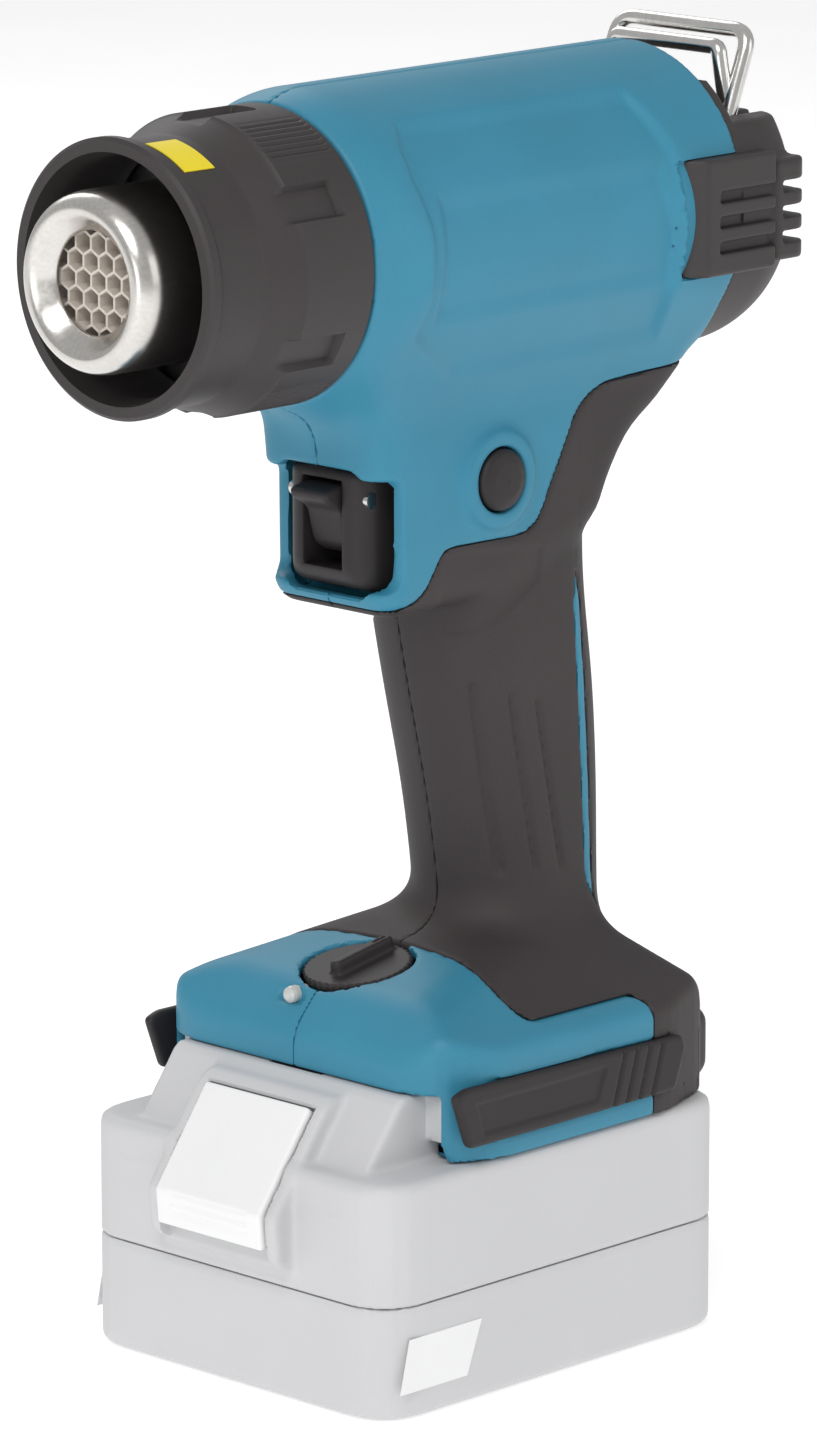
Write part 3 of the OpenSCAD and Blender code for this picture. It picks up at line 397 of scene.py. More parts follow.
# a path through corner points, each rounded with an arc-like parabola, evenly spaced
def bendPath(corners, radius, gap=0.5):
    pts = np.asarray(corners, float)
    made = [pts[:1]]
    t = np.linspace(0, 1, 12)[:, None]
    for prev, p, nxt in zip(pts[:-2], pts[1:-1], pts[2:]):
        u, v = prev - p, nxt - p
        lu, lv = np.linalg.norm(u), np.linalg.norm(v)
        k = min(radius, lu * 0.49, lv * 0.49)
        a, b = p + u / lu * k, p + v / lv * k
        made.append((1 - t) ** 2 * a + 2 * t * (1 - t) * p + t * t * b)
    made.append(pts[-1:])
    path = np.concatenate(made)
    s = np.concatenate([[0], np.cumsum(np.linalg.norm(np.diff(path, axis=0), axis=1))])
    keep = np.concatenate([[True], np.diff(s) > 1e-6])
    s, path = s[keep], path[keep]
    at = np.linspace(0, s[-1], max(8, int(s[-1] / gap)))
    return np.stack([np.interp(at, s, path[:, i]) for i in range(3)], 1)


# carries a closed profile of (distance along, radius) points round any axis: each point goes to
# origin + along * distance + radius * (cos * side + sin * third), which closes both ways
def lathePiece(name, profile, origin, along, side, mat, body, replaced, around, smooth):
    p = np.asarray(profile, float)
    w = np.asarray(along, float) / np.linalg.norm(along)
    u = np.asarray(side, float) / np.linalg.norm(side)
    v = np.cross(w, u)
    ang = np.arange(around) / around * 2 * np.pi
    r = np.repeat(p[:, 1][:, None], around, 1)
    verts = (np.asarray(origin, float) + p[:, 0][:, None, None] * w
             + r[..., None] * (np.cos(ang)[:, None] * u + np.sin(ang)[:, None] * v)).reshape(-1, 3)
    return makePiece(name, verts, gridFaces(len(p), around), mat, body, replaced, smooth)


housing = {
    "barrelR": 30.5, "barrelFront": -36.7, "barrelRear": 61.8, "shoulderL": 9.5, "shoulderDrop": 2.2,
    "panelDepth": 1.5, "nameDepth": 1.0, "bevel": 2.4, "neckHalf": 17.0, "handleHalf": 16.5,
    "wall": 2.4, "skin": 2.2, "seam": 0.1, "melt": 9.0, "parting": 0.06, "bottom": 46.3,
    "flankFrom": -23.0, "flankSlope": 0.19, "guardFloor": 29.4,
    "degree": 0.266,   # how far a degree counts in the outlines of the side panels, half its arc in mm
}
sidePanels = {
    # corners as (x, angle up from the left side), the wide one first
    "wide": [(-21.5, 57), (41.0, 57), (46.0, 28), (46.0, -28), (48.6, -53), (-9.5, -53), (-26.3, -30),
             (-24.0, -12), (-24.0, 10), (-26.0, 30), (-25.0, 46)],
    "middle": [(-19.5, 26), (43.4, 26), (43.2, 14), (46.2, -3), (47.0, -27), (-20.5, -27)],
}
neckOutline = softOutline([(-27.5, 200), (-24.2, 176), (-22.2, 150), (-19.5, 146.2), (6, 146), (37.5, 157.5),
                           (41.2, 165.8), (46.5, 173.3), (56, 179.3), (60.5, 185), (60.5, 206),
                           (-27.5, 206)], 4.0)
gripOutline = softOutline([(80, 187), (36, 185), (29.6, 181.5), (18.6, 160.6), (14.5, 158.4), (-7.0, 158.7),
                           (-9.5, 155), (-13.5, 149.4), (-19, 147.9), (-36, 147.4), (-36, 88.5), (-2, 86.5),
                           (-2, 69.4), (29.5, 69.4), (29.5, 42), (80, 42)], 3.2)
footPlan = softOutline([(-31, -29), (-28, -36), (-18, -41.1), (30, -41.1), (47, -35), (50, -28),
                        (50, 28), (47, 35), (30, 41.1), (-18, 41.1), (-28, 36), (-31, 29)], 5.0)
frontLine = ([40, 78, 86, 107, 127, 142, 158, 200], [8.6, 9.4, 9.1, 5.6, 0.7, -2.6, -5.4, -12])
backLine = ([40, 70, 86, 107, 127, 142, 153, 165, 200], [47.2, 46.6, 45.9, 45.7, 44.4, 41.9, 41.0, 41.6, 46])


# x at any height along a line of (heights, x), blurred over its corners
def smoothLine(line, blur=7.0, reach=18):
    z = np.arange(30.0, 210.0, 1.0)
    x = np.interp(z, *line)
    k = np.exp(-0.5 * (np.arange(-reach, reach + 1) / blur) ** 2)
    x = np.convolve(np.pad(x, reach, "edge"), k / k.sum(), "valid")
    return lambda q: np.interp(q, z, x)


handleFront, handleBack = smoothLine(frontLine), smoothLine(backLine)


# a cylinder with a rounded front shoulder, flattened flanks and two stepped side panels
def barrelField(x, y, z, panels=True):
    h = housing
    dz = z - tool["axisZ"]
    r = np.sqrt(y * y + dz * dz)
    ahead = (h["barrelFront"] + h["shoulderL"] - x) / h["shoulderL"]
    rim = h["barrelR"] - h["shoulderDrop"] * np.clip(ahead, 0, 1.3) ** 2
    f = smax(r - rim, np.maximum(h["barrelFront"] - x, x - h["barrelRear"]), 0.5)
    if panels:
        flank = h["barrelR"] + h["flankSlope"] * (x - h["flankFrom"])
        f = smax(f, (np.abs(y) - flank) * 0.98, 0.5)
        ang = np.degrees(np.arctan2(dz, np.abs(y)))
        for key, depth in (("wide", h["panelDepth"]), ("middle", h["nameDepth"])):
            pts = [(px, pa * h["degree"]) for px, pa in sidePanels[key]]
            d = outline2d(x, np.clip(ang, -75, 75) * h["degree"], pts)
            f = f + depth * ramp(-d / h["bevel"])
    return f


# round front and back edges that follow two lines in the side view, with flat flanks between
def handleField(x, y, z):
    w = housing["handleHalf"]
    q1 = w - (x - handleFront(z)) * 0.978
    q2 = w - (handleBack(z) - x) * 0.995
    f1 = np.where(q1 > 0, np.sqrt(q1 * q1 + y * y) - w, np.abs(y) - w)
    f2 = np.where(q2 > 0, np.sqrt(q2 * q2 + y * y) - w, np.abs(y) - w)
    return np.maximum(smax(f1, f2, 1.5), np.maximum(z - 188, 52 - z))


def neckField(x, y, z):
    return smax(outline2d(x, z, neckOutline), np.abs(y) - housing["neckHalf"], 7.0)


# the foot's plan, sloped down to the front, the rear and the sides
def footField(x, y, z):
    ay = np.abs(y)
    f = outline2d(x, y, footPlan)
    front = (x + 31) * -0.75 + (z - 66) * 0.662
    top = (z - 74.5 - (x + 23.5) * 0.176) * 0.985
    side = (ay - 41.1) * 0.502 + (z - 67.0) * 0.865
    rear = (x - 50) * 0.74 + (z - 62.5) * 0.67
    f = smax(f, smax(smax(front, rear, 2.0), smax(top, side, 3.0), 2.5), 2.2)
    return np.maximum(f, housing["bottom"] - z)


lockSpot = {"at": (6.8, 170.2), "collarR": 8.9, "pitR": 6.4}


# barrel, neck, handle and foot, each melted into the next
def bodyField(x, y, z, panels=True):
    grip = smin(neckField(x, y, z), handleField(x, y, z), 2.5)
    upper = smin(barrelField(x, y, z, panels), grip, housing["melt"])
    bump = boxField(x, y, z, (36, -30.5, housing["bottom"]), (54.6, 30.5, 60.5), 3.5)
    foot = smin(footField(x, y, z), bump, 4.0)
    f = smin(upper, foot, 8.0)
    if panels:
        collar = smax(fromLine(x, z, lockSpot["at"]) - lockSpot["collarR"], np.maximum(-y - 18.7, y), 1.2)
        f = smin(f, collar, 3.5)
    return np.maximum(f, housing["bottom"] - z)


# the side view of the rubber, which reaches further forward on the foot's flanks
def gripZone(x, y, z):
    lean = 3.4 * ramp((np.abs(y) - 4) / 26) * ramp((92 - z) / 8)
    return outline2d(x + lean, z, gripOutline)


mouth = {"r": 25.0, "back": -33.0}
pocket = {"front": -60, "back": -11.6, "openBack": -16.2, "half": 10.95, "low": 149.8, "high": 174.8}
dialPit = {"x": -13.4, "z": 76.1, "cos": 0.985, "sin": 0.174, "r": 11.3, "floor": -2.2, "top": 8.0}
channel = {"front": -60, "back": 44.7, "half": 35.5, "roof": 59.3, "railFront": -24, "railIn": 31.3}


# the front opening, trigger pocket, button, dial and lamp recesses and the battery's channel
def shellCuts(x, y, z, f):
    p, d, c, h = pocket, dialPit, channel, housing
    r = fromLine(y, z, (0.0, tool["axisZ"]))
    f = smax(f, -np.maximum(r - mouth["r"], x - mouth["back"]), 0.3)
    room = boxField(x, y, z, (p["front"], -p["half"], p["low"]), (p["back"], p["half"], p["high"]), 3.0)
    f = smax(f, -room, 0.6)
    front = boxField(x, 0 * y, z, (p["front"], -1, p["low"]), (p["openBack"], 1, p["high"]), 4.5)
    f = smax(f, -front, 1.0)
    f = smax(f, -np.maximum(fromLine(x, z, lockSpot["at"]) - lockSpot["pitR"], y + 13), 0.8)
    dx, dz = x - d["x"], z - d["z"]
    u, v = dx * d["cos"] + dz * d["sin"], dz * d["cos"] - dx * d["sin"]
    pit = np.maximum(np.sqrt(u * u + y * y) - d["r"], np.maximum(d["floor"] - v, v - d["top"]))
    f = smax(f, -pit, 0.5)
    f = smax(f, -boxField(x, y, z, (-40, 1.6, 70.0), (-25.2, 8.4, 80), 1.2), 0.5)
    f = smax(f, -boxField(x, y, z, (c["front"], -c["half"], 30), (c["back"], c["half"], c["roof"]), 0.3), 0.3)
    rails = boxField(x, np.abs(y), z, (c["railFront"], c["railIn"], h["bottom"]), (45, 36, 49), 0.3)
    f = np.minimum(f, rails)
    frontCut = outline2d(x, z, [(-60, 59.0), (-33, 59.0), (-29.2, 53.4), (-25.2, 45.0), (-60, 45.0)])
    f = smax(f, -frontCut, 0.5)
    f = smax(f, -np.maximum(outline2d(x, z, guardOutline) - 0.1, h["guardFloor"] - r), 0.2)
    pads = outline2d(x, z, padOutline)
    return smax(f, -np.maximum(pads - 0.12, 39.9 - np.abs(y)), 0.3)


guardOutline = softOutline([(46.6, 204.9), (70.1, 204.9), (70.1, 227.6), (45.2, 227.6)], 1.0, 3)
padOutline = softOutline([(-30.2, 60.6), (-26.2, 50.0), (31.2, 50.2), (34.2, 58.6), (33, 61.0),
                          (-27, 61.8)], 1.2)
screwSpots = [(-17, 186.0), (34, 184.0), (34.6, 151.0), (36, 112.0), (20, 88.0)]
screwPit = {"r": 3.0, "floor": 10.6}


# the pits of the housing screws, all in the right half
def screwCuts(x, y, z, f):
    for at in screwSpots:
        f = smax(f, -np.maximum(fromLine(x, z, at) - screwPit["r"], screwPit["floor"] - y), 0.3)
    return f


# the stripe down the handle's back, with ends that run out spare further
def stripeField(x, z, half, spare):
    middle = 30.9 + (148 - z) * 0.065
    return np.abs(x - middle) - half * ramp((150 + spare - z) / 9) * ramp((z - 82 + spare) / 6)


# grooves and the finely textured patch pressed into the rubber's sides
def gripRelief(x, y, z):
    f = 0 * (x + y + z)
    side = ramp((np.abs(y) - 8) / 3)
    for gx in (3.0, 9.4, 15.8, 22.2):
        d = np.abs(x + (z - 112) * 0.205 - gx) / 1.1
        f = f + 0.8 * np.clip(1 - d, 0, 1) * ramp((134 - 0.35 * gx - z) / 2) * ramp((z - 90) / 2)
    patch = outline2d(x, z, [(-8.4, 158.0), (19.8, 155.6), (20.4, 148.6), (4.2, 139.2), (-6.0, 140.4)])
    f = f + 0.35 * ramp(-patch / 0.8)
    return f * side


# one half: full depth outside the rubber's outline, a core set in by the rubber's depth inside it
def housingField(side):
    def field(x, y, z):
        h = housing
        body = bodyField(x, y, z)
        zone = gripZone(x, y, z)
        stripe = np.maximum(stripeField(x, z, 1.15, 0.0) + 0.02, 10 - np.abs(y))
        outer = smax(body, np.minimum(h["seam"] - zone, stripe), 0.35)
        f = shellCuts(x, y, z, np.minimum(outer, body + h["skin"]))
        if side > 0:
            f = screwCuts(x, y, z, f)
        plain = bodyField(x, y, z, False)
        inner = plain + h["wall"] + h["skin"] * ramp((1.0 - zone) / 2.5)
        inner = np.maximum(np.maximum(inner, body + 1.5), 61.7 - z)
        openEnd = np.maximum(fromLine(y, z, (0.0, tool["axisZ"])) - 28.1, 55 - x)
        f = smax(f, -np.minimum(inner, openEnd), 0.2)
        return smax(f, h["parting"] - side * y, 0.35)
    return field


# one half's rubber, laid over that core
def gripField(side):
    def field(x, y, z):
        h = housing
        plain = bodyField(x, y, z)
        body = plain + gripRelief(x, y, z)
        zone = gripZone(x, y, z)
        stripe = np.minimum(-stripeField(x, z, 1.35, 0.4), np.abs(y) - 9.8)
        f = smax(body - 0.12, zone + h["seam"], 0.5)
        f = smax(f, stripe, 0.3)
        f = np.maximum(f, -(plain + h["skin"] - 0.04))
        f = shellCuts(x, y, z, f)
        if side > 0:
            f = screwCuts(x, y, z, f)
        return smax(f, h["parting"] - side * y, 0.35)
    return field


coarser = 1.0
step = tool["detail"] * coarser
for label, side in (("left", -1), ("right", 1)):
    span = (-44.0, -1.0) if side < 0 else (-1.0, 44.0)
    mouldPiece(label + "HousingShell", housingField(side), (-39, span[0], 44), (64, span[1], 249), step,
               finish["teal"], "tool", [label + "_housing"])
    mouldPiece(label + "GripSkin", gripField(side), (-25, span[0], 44), (64, span[1], 190), step,
               finish["rubber"], "tool", [label + "_grip"])
print("housing done")


padSize = {"face": 42.3, "back": 40.1, "ribs": (15.0, 18.6, 22.2, 25.8), "ribDepth": 0.5, "lipDepth": 0.4}


# a flat pad with a recessed panel in front and slanted grooves behind it
def padField(side):
    def field(x, y, z):
        ay = y * side
        f = smax(outline2d(x, z, padOutline), np.maximum(ay - padSize["face"], padSize["back"] - ay), 1.0)
        lip = outline2d(x, z, [(-24.5, 58.6), (-22.6, 52.2), (9.0, 52.3), (11.5, 58.8)])
        face = ramp((ay - 41) / 0.6)
        f = f + padSize["lipDepth"] * ramp((0.2 - lip) / 0.7) * face
        for gx in padSize["ribs"]:
            groove = np.clip(1 - np.abs(x - gx - (z - 55) * 0.3) / 0.7, 0, 1)
            f = f + padSize["ribDepth"] * groove * face
        return f
    return field


for label, side in (("left", -1), ("right", 1)):
    span = (-43.5, -39) if side < 0 else (39, 43.5)
    mouldPiece(label + "FootPad", padField(side), (-32, span[0], 48), (36, span[1], 63.5), 0.4,
               finish["smoothBlack"], "tool", [label + "_foot_bumper"])
print("foot pads done")


cover = {
    "front": 61.8, "back": 80.0, "r": 30.2, "shelf": 233.0, "ribHalf": 31.0, "slotH": 2.3,
    "slots": (220.1, 215.2, 210.3), "ribLow": 205.7, "ribHigh": 225.5, "hookSlot": (15.4, 18.9),
    "screwAngles": (25, 155, 215, 325), "screwRing": 22.8, "bossR": 2.9, "headR": 2.45, "holeR": 1.45,
    "guardFace": 31.5, "guardSlot": 29.7, "detail": 0.5,
}


# a hollow cap with a flat shelf on top, ribs with air slots, screw bosses and the hook's slots
def coverField(x, y, z):
    c = cover
    ay, dz = np.abs(y), z - tool["axisZ"]
    r = np.sqrt(y * y + dz * dz)
    drop = 3.2 * np.clip((x - 70) / 10, 0, 1.2) ** 2
    f = smax(smax(r - c["r"] + drop, x - c["back"], 3.0), c["front"] - x, 0.3)
    ribs = boxField(x, y, z, (70.4, -c["ribHalf"], c["ribLow"]), (c["back"], c["ribHalf"], c["ribHigh"]), 1.4)
    taper = (ay - 31) * 0.8 + (x - 77.5) * 0.6
    f = smin(f, smax(ribs, taper, 0.8), 1.0)
    f = smax(f, -np.maximum(c["shelf"] - z, 64.4 - x), 1.0)
    hollow = np.maximum(np.maximum(r - 25.6, x - 77.4), z - 230.8)
    f = smax(f, -np.maximum(hollow, 60.0 - x), 0.3)
    for sz in c["slots"]:
        slot = boxField(x, ay, z, (72.6, 1.8, sz - c["slotH"] / 2), (90, 40, sz + c["slotH"] / 2), 0.5)
        f = smax(f, -slot, 0.5)
    for a in c["screwAngles"]:
        cy, cz = c["screwRing"] * math.cos(math.radians(a)), c["screwRing"] * math.sin(math.radians(a))
        q = fromLine(y, z, (cy, tool["axisZ"] + cz))
        f = smin(f, np.maximum(q - c["bossR"], np.maximum(c["front"] - x, x - 79.0)), 0.4)
        f = smax(f, -np.minimum(np.maximum(q - c["headR"], 75.0 - x), q - c["holeR"]), 0.3)
    legs = boxField(x, ay, z, (67.7, c["hookSlot"][0], 226.0), (90, c["hookSlot"][1], 260), 0.4)
    f = smax(f, -np.maximum(legs, 222 - z), 0.4)
    spigot = np.maximum(np.abs(r - 26.7) - 1.1, np.maximum(57.9 - x, x - 63))
    return np.minimum(f, spigot)


# a plate over the barrel's side with blind air slots that run on from the cover's
def guardField(side):
    c = cover
    half = c["slotH"] / 2

    def field(x, y, z):
        ay = y * side
        f = outline2d(x, z, guardOutline)
        f = smax(f, np.maximum(ay - c["guardFace"], 24 - ay), 1.0)
        f = smax(f, (ay - c["guardFace"]) * 0.6 - (x - 50.5) * 0.8, 0.8)
        f = np.maximum(f, 28.15 - fromLine(y, z, (0.0, tool["axisZ"])))
        for sz in c["slots"]:
            slot = boxField(x, ay, z, (54.0, c["guardSlot"], sz - half), (90, 40, sz + half), 0.6)
            f = smax(f, -slot, 0.6)
        return f
    return field


mouldPiece("rearIntakeCover", coverField, (56, -33, 184), (82, 33, 236), cover["detail"] * coarser,
           finish["black"], "tool", ["rear_cover"])
for label, side in (("left", -1), ("right", 1)):
    span = (-33, -20) if side < 0 else (20, 33)
    mouldPiece(label + "VentGuard", guardField(side), (43, span[0], 203), (72, span[1], 230), 0.4,
               finish["black"], "tool", [label + "_vent_guard"])
print("rear cover done")


protector = {"recessFloor": 26.9, "ribDepth": 0.45, "ribPitch": 3.0, "ribHalfArc": 12.2}


# square recesses every 60 degrees from 30 cut the grip down to one radius; ribs lie between them
def protectorShift(x, r, ang):
    p = protector
    deg = np.degrees(ang)
    toRecess = deg % 60 - 30
    toRib = (deg + 30) % 60 - 30
    ribSector = np.abs(np.cos(ang)) < 0.9
    inX = ramp((x + 59.2) / 1.0) * ramp((-43.0 - x) / 0.6)
    inA = ramp((7.3 - np.abs(toRecess)) / 1.1)
    cut = -np.maximum(r - p["recessFloor"], 0) * inX * inA * (x > -63)
    wave = 0.5 + 0.5 * np.cos(toRib / p["ribPitch"] * 2 * np.pi)
    arc = ramp((p["ribHalfArc"] - np.abs(toRib)) / 0.8) * ribSector
    along = ramp((x + 54.2) / 0.5) * ramp((-38.6 - x) / 0.5) * (r > 27)
    return cut - p["ribDepth"] * ramp(wave * 2 - 0.7) * arc * along


def pieceProfile(corners, radius, gap):
    return denser(softOutline(corners, radius, 5), gap)


protectorOut = [(-76.8, 23.4), (-76.8, 25.4), (-76.2, 26.1), (-74.4, 26.1), (-73.3, 25.2), (-62.3, 25.0),
                (-55.2, 27.9), (-54.7, 28.3), (-37.6, 28.3), (-37.0, 27.7)]
protectorIn = [(-37.0, 25.1), (-53.9, 25.1), (-55.9, 22.6), (-73.6, 22.4), (-74.6, 23.0), (-75.4, 23.1)]
outPts = denser(np.array(protectorOut + protectorIn), 0.75)
keepRow = (outPts[:, 1] > 24.0) | (np.arange(len(outPts)) % 3 == 0)
turned("nozzleProtector", outPts[keepRow], finish["black"], "protector", ["protector"],
       around=480, radiusShift=protectorShift, smooth=28.0)

nozzleCorners = [(-38.0, 16.6), (-38.0, 15.8), (-79.6, 15.8), (-82.6, 15.0), (-84.0, 13.2), (-81.0, 9.75),
                 (-81.6, 9.6), (-84.7, 12.7), (-85.2, 13.7), (-84.9, 15.1), (-83.2, 16.5), (-80.6, 17.0),
                 (-53.2, 17.0), (-53.2, 16.6)]
turned("nozzleTube", pieceProfile(nozzleCorners, 0.9, 1.2), finish["spunSteel"], "tool", ["nozzle"],
       around=160, smooth=40.0)

labelArc = {"from": 55.5, "to": 80.5, "front": -72.2, "back": -64.6, "r": 25.16, "thick": 0.2, "points": 24}
la, n = labelArc, labelArc["points"]
u = np.linspace(la["from"], la["to"], n)
rows = [(la["front"], la["r"]), (la["back"], la["r"] - 0.05), (la["back"], la["r"] + la["thick"] - 0.05),
        (la["front"], la["r"] + la["thick"])]
ring = np.stack([[np.full(n, px), -pr * np.cos(np.radians(u)), tool["axisZ"] + pr * np.sin(np.radians(u))]
                 for px, pr in rows], 0).transpose(0, 2, 1)
k = np.arange(n - 1)
strips = [np.stack([a * n + k, a * n + k + 1, b * n + k + 1, b * n + k], -1) for a, b in
          ((1, 0), (2, 1), (3, 2), (0, 3))]
ends = [[0, n, 2 * n, 3 * n], [4 * n - 1, 3 * n - 1, 2 * n - 1, n - 1]]
makePiece("blankLabel", ring.reshape(-1, 3), np.concatenate(strips + [np.array(ends)]), finish["yellowLabel"],
          "protector", ["warning_label"], 30.0)
print("protector and nozzle done")


hookWire = {"r": 1.6, "bend": 4.2, "innerBend": 3.2, "half": 17.0, "end": 12.0, "pivot": (70.0, 228.0),
            "bar": (78.0, 248.3), "sides": 24}
hw = hookWire
px, pz = hw["pivot"]
bx, bz = hw["bar"]
outerCorners = [(px, -hw["end"], pz), (px, -hw["half"], pz), (bx, -hw["half"], bz), (bx, hw["half"], bz),
                (px, hw["half"], pz), (px, hw["end"], pz)]
innerCorners = [(72.7, -15.6, 234.8), (72.6, -14.0, 243.2), (72.9, -13.4, 245.5), (72.9, 13.4, 245.5),
                (72.6, 14.0, 243.2), (72.7, 15.6, 234.8)]
for name, pts, bend in (("hookOuterBail", outerCorners, hw["bend"]),
                        ("hookInnerBail", innerCorners, hw["innerBend"])):
    verts, quads, caps = tubeAlong(bendPath(pts, bend, 0.6), hw["r"], hw["sides"])
    tri = np.concatenate([quads[:, [0, 1, 2]], quads[:, [0, 2, 3]], caps])
    makePiece(name, verts, tri, finish["wireSteel"], "hook", ["hook"] if "Outer" in name else [],
              50.0)
print("hook done")


blade = {"half": 10.5, "back": -6.0, "nose": -18.0, "flat": 5.5, "noseR": 5.0, "middle": 162.3,
         "halfHigh": 12.0, "slotHalf": 5.15}
bladeSlot = softOutline([(-40, 172.2), (-9.6, 172.2), (-9.6, 155.4), (-14, 154.6), (-40, 156.6)], 2.5)


# a block with a rounded front and a slanted lower edge, slotted for the lever
def triggerField(x, y, z):
    b = blade
    ay = np.abs(y)
    plan = np.maximum(ay - b["half"], x - b["back"])
    front = np.sqrt(np.maximum(b["nose"] - x, 0) ** 2 + np.maximum(ay - b["flat"], 0) ** 2) - b["noseR"]
    f = np.where((x < b["nose"]) | (ay > b["flat"]), np.maximum(front, x - b["back"]), plan)
    f = np.maximum(f, ay - b["half"])
    f = smax(f, np.abs(z - b["middle"]) - b["halfHigh"], 2.2)
    low = (-19.0 - x) * 0.6 - (z - 155.0) * 0.8
    f = smax(f, low - 3.6, 2.5)
    return smax(f, -np.maximum(outline2d(x, z, bladeSlot), ay - b["slotHalf"]), 0.6)


leverOutline = softOutline([(-27.0, 170.5), (-22.0, 171.4), (-17.0, 171.0), (-12.8, 167.5), (-12.2, 160.2),
                            (-14.0, 157.4), (-17.6, 157.1), (-20.6, 159.2), (-21.6, 162.6), (-22.4, 166.2),
                            (-26.6, 168.6)], 1.4)
lever = {"half": 4.75, "pin": (-19.8, 168.8), "pinR": 1.53}


def leverField(x, y, z):
    f = smax(outline2d(x, z, leverOutline), np.abs(y) - lever["half"], 0.9)
    return np.maximum(f, lever["pinR"] - fromLine(x, z, lever["pin"]))


mouldPiece("triggerBlade", triggerField, (-25, -12, 149), (-5, 12, 176), 0.4, finish["smoothBlack"],
           "trigger", ["trigger"])
mouldPiece("lockOffLever", leverField, (-29, -6, 155), (-11, 6, 174), 0.3, finish["smoothBlack"], "lever",
           ["lock_off_lever"])
buttonProfile = pieceProfile([(0.0, 0.02), (0.15, 3.6), (0.7, 5.2), (1.5, 5.95), (6.0, 5.95), (6.0, 7.1),
                              (7.1, 7.1), (7.1, 0.02)], 0.35, 0.8)
buttonFace = (lockSpot["at"][0], -20.45, lockSpot["at"][1])
lathePiece("lockButtonCap", buttonProfile, buttonFace, (0, 1, 0), (0, 0, 1), finish["smoothBlack"],
           "lock_button", ["lock_button"], 72, 30.0)
print("controls done")


dial = {"r": 10.5, "thick": 1.8, "stemR": 2.6, "tilt": 10.0, "fin": (-6.4, 9.2), "finHigh": 2.7, "knurls": 40}


# worked out in the dial's own frame: u along the fin, v up its axis
def dialField(x, y, z):
    c, s = math.cos(math.radians(dial["tilt"])), math.sin(math.radians(dial["tilt"]))
    dx, dz = x - dialPit["x"], z - dialPit["z"]
    u, v = dx * c + dz * s, dz * c - dx * s
    r = np.sqrt(u * u + y * y)
    a = np.arctan2(y, u)
    rim = r - dial["r"] + 0.18 * np.cos(a * dial["knurls"])
    f = smax(rim, np.maximum(v, -dial["thick"] - v), 0.5)
    f = np.minimum(f, np.maximum(r - dial["stemR"], np.maximum(v + 1.5, -4.2 - v)))
    ends = np.maximum(dial["fin"][0] - u, u - dial["fin"][1])
    fin = smax(np.abs(y) - 1.6 + 0.12 * np.maximum(v, 0), ends, 1.2)
    fin = smax(fin, np.maximum(v - dial["finHigh"], -1 - v), 0.8)
    f = smin(f, fin, 0.7)
    mark = np.maximum(np.abs(y) - 0.35, np.abs(u - 6.6) - 1.8)
    return smax(f, -np.maximum(mark, 2.4 - v), 0.15)


mouldPiece("temperatureDial", dialField, (-26, -12, 69), (0, 12, 84), 0.32, finish["smoothBlack"], "dial",
           ["temperature_dial"])
print("dial done")


pack = {"l": 96.2, "w": 82.2, "h": 45.9, "corner": 11.0, "wall": 2.0, "split": 22.0, "gap": 0.05,
        "lowerDetail": 0.9, "upperDetail": 0.75}
packEnd, packSide = pack["l"] / 2, pack["w"] / 2
packCorners = [(-packEnd, -packSide), (packEnd, -packSide), (packEnd, packSide), (-packEnd, packSide)]
packPlan = softOutline(packCorners, pack["corner"], 6)
packNose = softOutline([(-46, 24), (-52.7, 28), (-53.5, 37), (-39.6, 55.7), (-36.6, 57.3), (-31, 57.3),
                        (-31, 24)], 1.5)


# the whole case as one hollow shape, of which each part keeps its side of the split
def packField(part):
    def field(x, y, z):
        ay, half, split = np.abs(y), pack["h"] / 2, pack["split"]
        plan = outline2d(x, y, packPlan)
        body = smax(plan, np.abs(z - half) - half, 2.5)
        upper = outline2d(x, z, [(-packEnd, 38.4), (-33.5, 57.7), (-32.0, 58.9), (44.1, 58.9), (44.1, 38.4)])
        upper = smax(upper, ay - 30.5, 1.2)
        rails = boxField(x, ay, z, (-26, 0, 49.5), (44.1, 35.1, 58.9), 0.8)
        nose = smax(outline2d(x, z, packNose), ay - 17.2, 1.2)
        f = smin(smin(smin(body, upper, 1.0), rails, 0.6), nose, 1.5)
        room = np.maximum(plan + pack["wall"], np.maximum(2.0 - z, z - 43.7))
        room = np.minimum(room, boxField(x, y, z, (-20, -27.5, 40), (42, 27.5, 56.9), 0.5))
        f = smax(f, -room, 0.3)
        pocket = outline2d(x, z, [(-58.2, 26.4), (-58.2, 38.4), (-41.3, 56.1), (-38.4, 54.9), (-37.5, 49.9),
                                  (-49.8, 33), (-49.8, 26.4)])
        f = smax(f, -np.maximum(pocket, ay - 14.4), 0.4)
        latch = outline2d(x, z, [(-44, 44.2), (-23.8, 44.2), (-23.8, 55.6), (-37.4, 55.6), (-38, 53.0)])
        latch = np.minimum(latch, boxField(x, 0 * y, z, (-30.6, -1, 55.9), (-23.8, 1, 62)))
        f = smax(f, -np.maximum(latch, ay - 6.9), 0.2)
        for sy in (0, 5, 14):
            f = smax(f, -boxField(x, ay, z, (7, sy - 0.9, 49.9), (60, sy + 0.9, 62), 0.1), 0.2)
        f = smax(f, 0.35 - np.sqrt((z - split) ** 2 + np.minimum(plan, 0) ** 2), 0.2)
        if part == "lower":
            return smax(f, z - split + pack["gap"], 0.2)
        return smax(f, split + pack["gap"] - z, 0.2)
    return field


